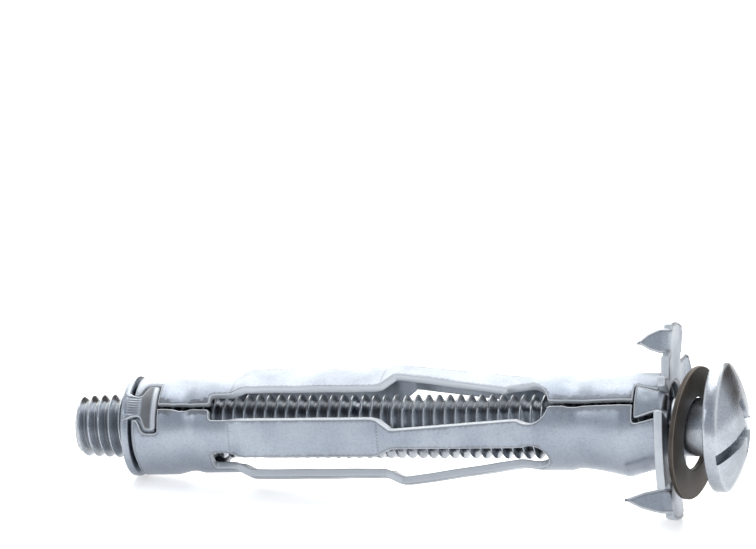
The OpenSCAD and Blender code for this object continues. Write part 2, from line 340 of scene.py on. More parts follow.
@dataclass
class Sheet:
    """A flat blank with rounded edges, folded into shape by a function.

    Attributes:
        outline: The blank's outline, in millimetres.
        holes: The holes in it.
        thickness: The sheet's thickness.
        edge: Radius of the rounded edges.
        spacing: Spacing of the mesh.
        edge_steps: Straight runs in each rounded edge.
        creases: Places along y where the sheet bends, which get close rows of vertices.
        crease_reach: How far beside a crease its outer rows lie.
        rim_wear: How worn the flat faces are at their rims.
        rim_painted_shade: How strong the painted shade is there, a thin line of dark reflection beside the rounded
            edge.
    """

    outline: Points
    holes: list[Points]
    thickness: float
    edge: float
    spacing: float
    edge_steps: int = 3
    creases: tuple[float, ...] = ()
    crease_reach: float = 0.12
    rim_wear: float = 0.1
    rim_painted_shade: float = 0.75

    def _close_rows(self) -> list[float]:
        """Gives the rows of vertices at the bends."""
        offsets = (-self.crease_reach, 0.0, self.crease_reach)
        return [place + offset for place in self.creases for offset in offsets]

    def _loops(self) -> list[np.ndarray]:
        """Splits the outline and the holes into short runs.

        Returns:
            The outline, running anticlockwise, and the holes, running clockwise.
        """
        shortest = 0.04
        loops = []
        close_rows = self._close_rows()
        for number, corners in enumerate([self.outline, *self.holes]):
            points: Points = []
            for start, end in zip(corners, [*corners[1:], corners[0]]):
                length = math.dist(start, end)
                if length < 1e-4:
                    continue
                runs = max(1, math.ceil(length / self.spacing))
                shares = {k / runs for k in range(runs)}
                rise = end[1] - start[1]
                for row in close_rows:
                    share = (row - start[1]) / rise if abs(rise) > 1e-6 else -1
                    gap = min(abs(share - other) for other in shares | {1.0})
                    if 0 < share < 1 and gap * length > shortest:
                        shares.add(share)
                points += [
                    (start[0] + (end[0] - start[0]) * share, start[1] + rise * share)
                    for share in sorted(shares)
                ]
            loop = np.array(points)
            if (signed_area(loop) > 0) != (number == 0):
                loop = loop[::-1]
            loops.append(loop)
        return loops

    def _filling(self, loops: list[np.ndarray]) -> np.ndarray:
        """Gives evenly spread points inside the outline, clear of its edges.

        Args:
            loops: The outline and its holes.

        Returns:
            The points, one a row.
        """
        low, high = loops[0].min(0), loops[0].max(0)
        close_rows = self._close_rows()
        # the height of an even triangle, as a share of its side
        row_share = 0.866
        even = np.arange(low[1], high[1], self.spacing * row_share)
        # the even rows give way to those at the bends
        rows = [y for y in even if all(abs(y - row) > 0.4 * self.spacing for row in close_rows)]
        rows = sorted(rows + close_rows)
        grid = np.array([
            (x + (self.spacing / 2 if number % 2 else 0), y)
            for number, y in enumerate(rows)
            for x in np.arange(low[0], high[0], self.spacing)
        ])
        grid = grid[inside(grid, loops)]
        # points close to the rim would make thin triangles
        rim = np.concatenate(loops)
        nearest = np.full(len(grid), 1e9)
        for point in rim:
            nearest = np.minimum(nearest, np.sum((grid - point) ** 2, axis=1))
        clear = max(0.55 * self.spacing, 1.5 * self.edge)
        return grid[nearest > clear * clear]

    @staticmethod
    def _inward(loop: np.ndarray) -> np.ndarray:
        """Gives the direction into the sheet at each point of a loop.

        Args:
            loop: The outline, or one of its holes.

        Returns:
            The directions, longer at corners so that the rim keeps its width there.
        """
        ahead = np.roll(loop, -1, axis=0) - loop
        ahead /= np.linalg.norm(ahead, axis=1, keepdims=True)
        left = np.stack([-ahead[:, 1], ahead[:, 0]], axis=1)
        both = left + np.roll(left, 1, axis=0)
        # both limits keep a sharp corner from reaching too far
        size = np.maximum(np.linalg.norm(both, axis=1, keepdims=True), 0.6)
        unit = both / size
        lengthen = 1 / np.maximum(np.sum(unit * left, axis=1, keepdims=True), 0.7)
        return unit * lengthen

    @staticmethod
    def _triangles(flat: np.ndarray, links: list[tuple[int, int]], loops: list[np.ndarray]) -> np.ndarray:
        """Fills an outline with triangles.

        Args:
            flat: The points of the loops and those inside them.
            links: The pairs of points that the loops join.
            loops: The outline and its holes.

        Returns:
            The point numbers of each triangle, running anticlockwise.
        """
        made = delaunay_2d_cdt([Vector(p) for p in flat], links, [], 1, 1e-6)
        origin = [source[0] for source in made[3]]
        triangles = np.array([[origin[i] for i in face] for face in made[2]])
        triangles = triangles[inside(flat[triangles].mean(axis=1), loops)]
        across = flat[triangles[:, 1]] - flat[triangles[:, 0]]
        beyond = flat[triangles[:, 2]] - flat[triangles[:, 0]]
        clockwise = across[:, 0] * beyond[:, 1] - across[:, 1] * beyond[:, 0] < 0
        triangles[clockwise] = triangles[clockwise][:, ::-1]
        return triangles

    def folded(self, fold: Fold) -> Shell:
        """Cuts the blank's mesh and folds it.

        Args:
            fold: Takes x, y and the height over the upper face, and gives places in space.

        Returns:
            The closed sheet, with values named edge, 1 on its rounded edges, and dull, for
            the thin line of painted dark reflection beside them.
        """
        loops = self._loops()
        filling = self._filling(loops)
        rim = np.concatenate(loops)
        inward = np.concatenate([self._inward(loop) for loop in loops])
        links = []
        start = 0
        for loop in loops:
            links += [(start + k, start + (k + 1) % len(loop)) for k in range(len(loop))]
            start += len(loop)
        flat = np.concatenate([rim, filling])
        triangles = self._triangles(flat, links, loops)

        # the rings step round the upper edge and back under the lower one
        count, edge_count = len(flat), len(rim)
        rounds = [math.pi / 2 * k / self.edge_steps for k in range(self.edge_steps + 1)]
        rings = [(self.edge * (1 - math.sin(a)), -self.edge * (1 - math.cos(a))) for a in rounds]
        rings += [(inset, -self.thickness - height) for inset, height in reversed(rings)]
        places, heights, worn, dull = [], [], [], []
        for inset, height in (rings[0], rings[-1]):
            face = flat.copy()
            face[:edge_count] += inward * inset
            places.append(face)
            heights.append(np.full(count, height))
            worn.append(np.concatenate([np.full(edge_count, self.rim_wear), np.zeros(len(filling))]))
            # a thin line of painted dark reflection along the faces' rims
            dull.append(np.concatenate([np.full(edge_count, self.rim_painted_shade), np.zeros(len(filling))]))
        for inset, height in rings[1:-1]:
            places.append(rim + inward * inset)
            heights.append(np.full(edge_count, height))
            worn.append(np.ones(edge_count))
            dull.append(np.zeros(edge_count))
        spread = np.concatenate(places)
        points = fold(spread[:, 0], spread[:, 1], np.concatenate(heights))

        faces = [tuple(t) for t in triangles.tolist()]
        faces += [tuple(i + count for i in reversed(t)) for t in triangles.tolist()]
        firsts = [0] + [2 * count + k * edge_count for k in range(len(rings) - 2)] + [count]
        for upper, lower in zip(firsts, firsts[1:]):
            faces += [(upper + i, lower + i, lower + j, upper + j) for i, j in links]
        return Shell(points, faces, {"edge": np.concatenate(worn), "dull": np.concatenate(dull)})


def revolved(profile: Points, steps: int) -> Shell:
    """Turns a profile about z.

    Args:
        profile: The (radius, z) points; a radius of 0 closes an end in a point.
        steps: Points round the axis.

    Returns:
        The surface; it is closed if the profile starts and ends on the axis or is a ring's.
    """
    angles = np.linspace(0, TURN, steps, endpoint=False)
    ring = np.stack([np.cos(angles), np.sin(angles)], axis=1)
    points = np.concatenate([
        np.column_stack([ring * radius, np.full(steps, z)]) for radius, z in profile
    ])
    faces = []
    for row in range(len(profile) - 1):
        for i in range(steps):
            j = (i + 1) % steps
            a, b = row * steps, (row + 1) * steps
            faces.append((a + i, a + j, b + j, b + i))
    return Shell(points, faces)


# ---------------------------------------------------------------- finishes


class Wire:
    """A shader socket that takes part in Python expressions."""

    def __init__(self, graph: "Graph", socket: bpy.types.NodeSocket | None) -> None:
        """Wraps a socket of a graph."""
        self.graph = graph
        self.socket = socket

    def _math(self, operation: str, *values: "Wire | float") -> "Wire":
        """Adds a Math node on these values."""
        return self.graph.node("ShaderNodeMath", {"operation": operation}, dict(enumerate(values)))

    def __add__(self, other: "Wire | float") -> "Wire":
        """Adds a value."""
        return self._math("ADD", self, other)

    __radd__ = __add__

    def __mul__(self, other: "Wire | float") -> "Wire":
        """Multiplies by a value."""
        return self._math("MULTIPLY", self, other)

    __rmul__ = __mul__

    def __sub__(self, other: "Wire | float") -> "Wire":
        """Takes a value away."""
        return self._math("SUBTRACT", self, other)

    def __rsub__(self, other: "Wire | float") -> "Wire":
        """Is taken away from a value."""
        return self._math("SUBTRACT", other, self)

    def other(self, output: str | int) -> "Wire":
        """Gives another output of the same node."""
        return Wire(self.graph, self.socket.node.outputs[output])

    def clamped(self) -> "Wire":
        """Keeps the value from 0 to 1."""
        return self._math("MINIMUM", self._math("MAXIMUM", self, 0.0), 1.0)

    def ramped(self, low: float, high: float) -> "Wire":
        """Rises from 0 at low to 1 at high, or falls where low is the larger.

        Args:
            low: The value that gives 0.
            high: The value that gives 1.

        Returns:
            The clamped rise.
        """
        return ((self - low) * (1 / (high - low))).clamped()


class Graph:
    """The nodes of one material or world."""

    def __init__(self, tree: bpy.types.NodeTree) -> None:
        """Empties the tree and keeps it."""
        tree.nodes.clear()
        self.tree = tree

    def node(
        self,
        kind: str,
        settings: dict[str, object] | None = None,
        sockets: dict[str | int, object] | None = None,
        output: str | int = 0,
    ) -> Wire:
        """Adds a node.

        Args:
            kind: The node's type.
            settings: Its own settings, set first.
            sockets: Values or wires of its sockets, by name or number.
            output: The output to give.

        Returns:
            The output, for expressions.
        """
        made = self.tree.nodes.new(kind)
        for key, value in (settings or {}).items():
            setattr(made, key, value)
        for key, value in (sockets or {}).items():
            if isinstance(value, Wire):
                self.tree.links.new(value.socket, made.inputs[key])
            else:
                made.inputs[key].default_value = value
        return Wire(self, made.outputs[output] if made.outputs else None)

    def noise(self, scale: float, detail: float) -> Wire:
        """Gives noise over the object, from about 0.3 to 0.7.

        Args:
            scale: Waves a metre.
            detail: Octaves.

        Returns:
            The noise.
        """
        place = self.node("ShaderNodeTexCoord", output="Object")
        return self.node("ShaderNodeTexNoise", {}, {"Vector": place, "Scale": scale, "Detail": detail})

    def value(self, name: str) -> Wire:
        """Gives a value that is stored at the mesh's vertices."""
        return self.node("ShaderNodeAttribute", {"attribute_name": name}, output="Fac")

    def blend(self, share: Wire | float, first: object, second: object) -> Wire:
        """Mixes two colours.

        Args:
            share: How much of the second.
            first: A colour or a wire.
            second: A colour or a wire.

        Returns:
            The mixed colour.
        """
        colours = [c if isinstance(c, Wire) else (*c, 1) for c in (first, second)]
        settings = {"data_type": "RGBA"}
        sockets = {0: share, 6: colours[0], 7: colours[1]}
        return self.node("ShaderNodeMix", settings, sockets, output=2)

    def bump(self, height: Wire, distance: float, strength: float) -> Wire:
        """Gives a normal that follows a height.

        Args:
            height: The height, 0 to 1.
            distance: What a height of 1 stands for, in metres.
            strength: Share of the effect.

        Returns:
            The normal.
        """
        sockets = {"Height": height, "Distance": distance, "Strength": strength}
        return self.node("ShaderNodeBump", {}, sockets)


@dataclass(frozen=True)
class Zinc:
    """Bright zinc plating on steel.

    Attributes:
        name: The material's name.
        tone: Its colour where it is clean.
        cloud: Its colour where the plating is duller.
        roughness: Its lowest roughness.
        mottle: How much the roughness varies.
        grain: Depth of the fine grain in metres.
        speckle: How much the fine grain darkens it.
        seam_patched: Whether darker, rougher patches lie beside the seam.
        speck: Colour of the coarser specks.
        pit: Colour in the fine grain's hollows.
        seam_patch_tone: Colour of the patches beside the seam.
        painted_shade_tone: Colour of the painted shade.
        edge_tone: Colour of the worn edges, and of the painted highlights on the screw and on the tabs' ends.
    """

    name: str
    tone: Colour = (0.38, 0.415, 0.47)
    cloud: Colour = (0.31, 0.345, 0.405)
    roughness: float = 0.24
    mottle: float = 0.16
    grain: float = 0.000006
    speckle: float = 0.3
    seam_patched: bool = False
    speck: Colour = (0.22, 0.24, 0.28)
    pit: Colour = (0.17, 0.19, 0.23)
    seam_patch_tone: Colour = (0.13, 0.13, 0.14)
    painted_shade_tone: Colour = (0.14, 0.14, 0.145)
    edge_tone: Colour = (0.74, 0.77, 0.80)

    def material(self) -> bpy.types.Material:
        """Makes the material.

        Returns:
            The material.
        """
        made = bpy.data.materials.new(self.name)
        made.use_nodes = True
        graph = Graph(made.node_tree)
        clouds = graph.noise(260, 4).ramped(0.36, 0.66)
        specks = graph.noise(2600, 2).ramped(0.66, 0.74)
        colour = graph.blend(clouds * 0.75, self.tone, self.cloud)
        colour = graph.blend(specks * 0.3, colour, self.speck)
        grain = graph.noise(5200, 3)
        colour = graph.blend(grain.ramped(0.42, 0.7) * self.speckle, colour, self.pit)
        rough = clouds * self.mottle + self.roughness
        if self.seam_patched:
            # the marks' ragged edge lies up to 1.25 mm from the seam
            torn = graph.noise(1500, 6)
            near = graph.value("seam").ramped(1.25, 0.2)
            marks = (near + torn * 1.1 - 1.12).ramped(0.0, 0.14) * graph.value("smear")
            colour = graph.blend(marks * 0.6, colour, self.seam_patch_tone)
            rough = rough + marks * 0.28
        # painted shade: thin dark lines along sheet rims and bends, the tabs' bars and the thread's grooves; it
        # also roughens the plating
        dull = graph.value("dull") * (clouds * 0.3 + 0.7)
        colour = graph.blend(dull.clamped(), colour, self.painted_shade_tone)
        # worn edges on the sheets, and painted highlights on the screw's head, crests and recess and on the rear
        # plate's tab ends
        worn = graph.value("edge").clamped()
        colour = graph.blend(worn * 0.65, colour, self.edge_tone)
        normal = graph.bump(grain, self.grain, 0.7)
        sockets = {
            "Base Color": colour,
            "Metallic": 1 - worn * 0.6,
            "Roughness": rough + dull * 0.2,
            "Normal": normal,
        }
        shader = graph.node("ShaderNodeBsdfPrincipled", {}, sockets)
        graph.node("ShaderNodeOutputMaterial", {}, {"Surface": shader})
        return made


@dataclass(frozen=True)
class DarkWasherFinish:
    """A satin brown-grey surface on the loose washer.

    Attributes:
        name: The material's name.
        dark: Its colour in the darker patches.
        pale: Its colour in the paler patches.
        edge_tone: Colour of the worn edges.
        grain: Depth of the fine grain in metres.
    """

    name: str = "dark_washer"
    dark: Colour = (0.052, 0.043, 0.036)
    pale: Colour = (0.098, 0.082, 0.068)
    edge_tone: Colour = (0.27, 0.23, 0.19)
    grain: float = 0.000004

    def material(self) -> bpy.types.Material:
        """Makes the material.

        Returns:
            The material.
        """
        made = bpy.data.materials.new(self.name)
        made.use_nodes = True
        graph = Graph(made.node_tree)
        patches = graph.noise(420, 4).ramped(0.35, 0.68)
        colour = graph.blend(patches, self.dark, self.pale)
        worn = graph.value("edge").clamped()
        colour = graph.blend(worn * 0.45, colour, self.edge_tone)
        normal = graph.bump(graph.noise(4200, 3), self.grain, 0.6)
        sockets = {
            "Base Color": colour,
            "Metallic": 0.4,
            "Specular IOR Level": 0.3,
            "Roughness": patches * 0.14 + 0.42,
            "Normal": normal,
        }
        shader = graph.node("ShaderNodeBsdfPrincipled", {}, sockets)
        graph.node("ShaderNodeOutputMaterial", {}, {"Surface": shader})
        return made


def dress(piece: bpy.types.Object, finish: bpy.types.Material, slot: Slot, body: Body, *nodes: str) -> None:
    """Gives a piece its finish and puts it in the frame.

    Args:
        piece: The piece.
        finish: Its material.
        slot: The record's slot for it; not used.
        body: The body that it rides on.
        nodes: The nodes that it stands for.
    """
    piece.data.materials.clear()
    piece.data.materials.append(finish)
    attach(piece, body.value)
    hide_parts(*nodes)


# ---------------------------------------------------------------- the sleeve


@dataclass
class Tee:
    """A T-shaped tab, and its slot when it is grown by a gap.

    Attributes:
        neck: Half the neck's width.
        bar: Half the bar's width.
        shoulder: Where the bar starts to widen.
        full: Where the bar is at its full width.
        end: Where the bar ends.
    """

    neck: float = 1.05
    bar: float = 2.3
    shoulder: float = 1.8
    full: float = 2.3
    end: float = 3.3

    def side(self, start: float, grow: float = 0.0) -> Points:
        """Gives one side of the outline as (offset, z), from its root to its end.

        Args:
            start: Where it starts.
            grow: The gap round it.

        Returns:
            The points.
        """
        return [
            (self.neck + grow, start),
            (self.neck + grow, self.shoulder - grow),
            (self.bar + grow, self.full - grow),
            (self.bar + grow, self.end + grow),
        ]


@dataclass
class Dovetail:
    """A dovetail tab that widens away from the front plate, and its notch.

    Attributes:
        root: Half its width at the wall face.
        tip: Half its width at its end.
        end: Where it ends.
    """

    root: float = 1.0
    tip: float = 1.7
    end: float = 48.4

    def side(self, start: float, grow: float = 0.0) -> Points:
        """Gives one side of the outline as (offset, z), from its end to its root.

        Args:
            start: Where its root is.
            grow: The gap round it.

        Returns:
            The points.
        """
        return [(self.tip + grow, self.end - grow), (self.root + 1.4 * grow, start)]


@dataclass
class Sleeve:
    """The rolled sheet: two collars joined by five kneed legs, open along its seam.

    Places are along z, and radii and distances are those of the outer face from the axis.

    Attributes:
        sheet: The sheet's thickness.
        tube: Radius of the plain roll.
        collar: Radius at the rear end.
        crease: Radius in the rolled creases.
        flare: Radius at the front swell.
        start: Where the sheet starts.
        leg_start: Where the legs start.
        knee: Where their knees are.
        leg_end: Where they end.
        legs: Number of legs.
        leg_reach: Distance of a leg behind its knee.
        knee_reach: Distance of a knee.
        neck_reach: Distance of a leg's front end.
        leg_half: Half a leg's width behind its knee.
        knee_half: Half its width at the knee.
        fore_half: Half its width before the knee.
        pocket: Half the width of a slot's rear pocket.
        front_pocket: Radius of a slot's front pocket.
        seam_pockets: Radii of the seam slot's front pocket, on the seam's two sides.
        seam_half: Half the seam's width.
        tab_gap: Gap round the rear plate's tabs.
        dove_gap: Gap round the front plate's tabs.
        flare_lean: How far the front swell sinks towards the ground.
        shaded_bends: Bends that carry a thin line of painted shade.
        off_leg: Number of the leg that is bent a little off its even place.
        off_turn: How far it is off about the axis, in radians.
        off_reach: How much closer to the axis it is.
        tee: Shape of the rear plate's tabs.
        dovetail: Shape of the front plate's tabs.
    """

    sheet: float = 0.7
    tube: float = 4.38
    collar: float = 4.5
    crease: float = 4.21
    flare: float = 4.75
    start: float = 1.15
    leg_start: float = 10.6
    knee: float = 26.0
    leg_end: float = 38.4
    legs: int = 5
    leg_reach: float = 5.0
    knee_reach: float = 5.6
    neck_reach: float = 4.16
    leg_half: float = 1.8
    knee_half: float = 0.9
    fore_half: float = 1.3
    pocket: float = 1.075
    front_pocket: float = 1.6
    seam_pockets: tuple[float, float] = (1.92, 2.35)
    seam_half: float = 0.225
    tab_gap: float = 0.2
    dove_gap: float = 0.3
    flare_lean: float = 0.3
    shaded_bends: tuple[float, ...] = (10.3, 24.5)
    off_leg: int = 2
    off_turn: float = 0.1
    off_reach: float = 0.12
    tee: Tee = field(default_factory=Tee)
    dovetail: Dovetail = field(default_factory=Dovetail)

    def __post_init__(self) -> None:
        """Works out the slots' spacing and the lines that the sheet follows."""
        self.round = TURN * self.tube
        self.pitch = (self.round - 2 * self.seam_half) / self.legs
        root = self.tube - 0.06
        self.collar_line = SoftLine([
            (self.start, self.collar),
            (4.3, self.collar),
            (5.6, self.crease),
            (6.2, self.crease),
            (6.9, self.tube),
            (self.leg_end + 3.2, self.tube),
            (self.leg_end + 3.9, self.crease),
            (self.leg_end + 4.5, self.crease),
            (WALL_FACE - 3.4, self.flare),
            (WALL_FACE - 1.2, self.tube),
            (WALL_FACE, self.tube),
        ], 0.09)
        self.leg_line = SoftLine([
            (self.leg_start - 1.2, root),
            (self.leg_start - 0.3, root),
            (self.leg_start + 1.1, self.leg_reach),
            (self.knee - 1.5, self.leg_reach),
            (self.knee - 0.2, self.knee_reach + 0.02),
            (self.knee + 0.5, self.knee_reach + 0.01),
            (self.leg_end - 1.1, self.neck_reach - 0.02),
            (self.leg_end + 0.5, root),
            (self.leg_end + 1.6, root),
        ], 0.11)
        inner = self.collar_line.points[1:-1]
        self.creases = tuple(z for z, _ in [*inner, *self.leg_line.points[1:-1]])

    def slot_side(self, extra: float, front: float, front_z: float) -> Points:
        """Gives one side of a slot as (offset, z), from its rear end to its front end.

        Args:
            extra: How much further each side lies from the slot's middle line.
            front: Radius of the pocket at its front end.
            front_z: Where that pocket's middle is.

        Returns:
            The points, which start and end on the slot's middle line.
        """
        edge = self.pitch / 2 + extra
        body, waist, fore = edge - self.leg_half, edge - self.knee_half, edge - self.fore_half
        first = math.acos(min(0.97, (fore + 0.02) / front))
        mouth = front_z - front * math.sin(first)
        rear_end = self.leg_start - 2.2
        side = [
            (0.0, rear_end),
            (self.pocket + extra, rear_end),
            (self.pocket + extra, self.leg_start - 0.1),
            (body, self.leg_start + 0.75),
            (body, self.knee - 1.75),
            (waist, self.knee - 0.1),
            (waist - 0.02, self.knee + 0.5),
            (fore, min(self.leg_end - 1.5, mouth - 0.4)),
            (fore + 0.02, min(self.leg_end - 1.1, mouth - 0.05)),
        ]
        smooth = rounded(side, 0.4, steps=5)
        return smooth + arc((0.0, front_z), front, -math.degrees(first), 90, 14)

    def tee_side(self, inner: float) -> Points:
        """Gives one side of a T-slot as (offset, z), up to this offset from its middle line."""
        corners = self.tee.side(self.start, self.tab_gap)
        return rounded([*corners, (inner, self.tee.end + self.tab_gap)], 0.4)[:-1]

    def notch_side(self, inner: float) -> Points:
        """Gives one side of a dovetail notch as (offset, z), from this offset to its root."""
        corners = self.dovetail.side(WALL_FACE - 0.1, self.dove_gap)
        return rounded([(inner, self.dovetail.end - self.dove_gap), *corners], 0.45)[1:]

    def seam_side(self, front: float, front_z: float) -> Points:
        """Gives the sheet's edge along the seam as (offset, z), from the rear to the front.

        Args:
            front: Radius of the wide slot's front pocket on this side.
            front_z: Where the pocket's middle is.

        Returns:
            The points.
        """
        tee = self.tee_side(self.seam_half)
        whole = self.slot_side(self.seam_half, front, front_z)
        opening = [p for p in whole if p[0] > self.seam_half]
        notch = self.notch_side(self.seam_half)
        # the edges stand a little apart at each rolled crease
        rear_seam = [
            (self.seam_half, self.tee.end + self.tab_gap),
            (self.seam_half, 5.0),
            (self.seam_half + 0.1, 5.5),
            (self.seam_half + 0.1, 6.1),
            (self.seam_half, 6.6),
            (self.seam_half + 0.04, self.leg_start - 2.4),
            (self.seam_half + 0.2, self.leg_start - 2.2),
        ]
        front_end = front_z + front
        front_seam = [
            (self.seam_half + 0.15, front_end),
            (self.seam_half + 0.03, front_end + 0.15),
            (self.seam_half, self.leg_end + 3.2),
            (self.seam_half + 0.08, self.leg_end + 3.7),
            (self.seam_half + 0.08, self.leg_end + 4.5),
            (self.seam_half, self.leg_end + 5.1),
            (self.seam_half, self.dovetail.end - self.dove_gap),
        ]
        return tee + rear_seam + opening + front_seam + notch

    def blank(self) -> Sheet:
        """Gives the sheet before it is rolled, as (distance round, z).

        Returns:
            The blank, with four slots and the seam's slot open at its edges.
        """
        near, far = (self.seam_side(wide, self.leg_end + 1.85 - wide) for wide in self.seam_pockets)
        middle = self.round / 2
        tee = self.tee_side(0.0)
        notch = self.notch_side(0.0)
        outline = [(middle - e, z) for e, z in tee]
        outline += [(middle + e, z) for e, z in reversed(tee)]
        outline += [(self.round - e, z) for e, z in far]
        outline += [(middle + e, z) for e, z in reversed(notch)]
        outline += [(middle - e, z) for e, z in notch]
        outline += [(e, z) for e, z in reversed(near)]
        holes = []
        slot = self.slot_side(0.0, self.front_pocket, self.leg_end)
        for i in range(1, self.legs):
            centre = self.seam_half + i * self.pitch
            holes.append(
                [(centre + e, z) for e, z in slot]
                + [(centre - e, z) for e, z in reversed(slot[1:-1])]
            )
        return Sheet(outline, holes, self.sheet, edge=0.13, spacing=0.3, creases=self.creases)

    def fold(self, along: np.ndarray, z: np.ndarray, depth: np.ndarray) -> np.ndarray:
        """Rolls the sheet into collars and bends its legs.

        Args:
            along: Distances round the sleeve from the seam.
            z: Places along the sleeve.
            depth: Heights over the outer face.

        Returns:
            The places, one a row.
        """
        angle = along / self.tube
        radius, place = self.collar_line.lift(z, depth)
        outer = np.interp(z, self.collar_line.z, self.collar_line.height)
        bulge = np.clip((outer - self.tube) / (self.flare - self.tube), 0, 1) * (z > self.knee)
        lowest = math.pi / 2 + SEAM_RISE
        radius = radius + self.flare_lean * bulge * np.cos(angle - lowest)
        # rolled sheet is never quite round
        radius = radius + 0.012 * np.sin(3 * angle + 0.5 * z) + 0.008 * np.sin(5 * angle - 0.9 * z)
        rolled = np.stack([radius * np.cos(angle), radius * np.sin(angle), place], axis=1)

        number = np.clip(np.floor((along - self.seam_half) / self.pitch), 0, self.legs - 1)
        middle = self.seam_half + (number + 0.5) * self.pitch
        across = along - middle
        # the leg at the back sits a little off its even place
        off = number == self.off_leg
        turn = middle / self.tube + self.off_turn * off
        reach, place = self.leg_line.lift(z, depth)
        reach = reach - self.off_reach * off
        # the sheet keeps a little of its roll in the legs
        reach = reach - 0.04 * across * across
        reach = reach + 0.012 * np.sin(1.3 * z + 2 * number)
        bent = np.stack([
            reach * np.cos(turn) - across * np.sin(turn),
            reach * np.sin(turn) + across * np.cos(turn),
            place,
        ], axis=1)
        behind = smoothstep(self.leg_start - 0.9, self.leg_start + 0.3, z)
        before = smoothstep(self.leg_end + 0.9, self.leg_end - 0.5, z)
        share = (behind * before)[:, None]
        return rolled * (1 - share) + bent * share

    def paint_marks_and_shading(self, shell: Shell) -> None:
        """Stores where darker patches lie beside the seam, and a thin line of painted shade along the bends.

        Args:
            shell: The rolled sheet.
        """
        x, y, z = shell.points.T
        shell.values["seam"] = np.abs(np.arctan2(y, x)) * self.tube - self.seam_half
        rear = smoothstep(3.2, 3.4, z) * smoothstep(8.4, 8.1, z)
        # the marks leave out the rear crease
        rear = rear * (1 - smoothstep(4.6, 4.9, z) * smoothstep(6.5, 6.2, z))
        front = 0.55 * smoothstep(self.leg_end + 2.0, self.leg_end + 2.4, z)
        shell.values["smear"] = np.clip(rear + front, 0, 1)
        # painted shade in a thin line along each bend, on the outer face
        away = np.min([np.abs(z - place) for place in self.shaded_bends], axis=0)
        outer = np.hypot(x, y) > self.tube - 0.3
        bend_shade = smoothstep(0.1, 0.03, away) * outer * 0.6
        shell.values["dull"] = np.maximum(shell.values["dull"], bend_shade)

    def build(self, placing: Matrix, finish: bpy.types.Material) -> bpy.types.Object:
        """Makes and dresses the sleeve's object.

        Args:
            placing: The sleeve's place.
            finish: Its material.

        Returns:
            The object.
        """
        shell = self.blank().folded(self.fold)
        self.paint_marks_and_shading(shell)
        piece = shell.to_object("sleeve_sheet", placing, sharp=60)
        dress(piece, finish, Slot.SHEET, Body.ANCHOR, "sleeve")
        return piece


# ---------------------------------------------------------------- the rear plate


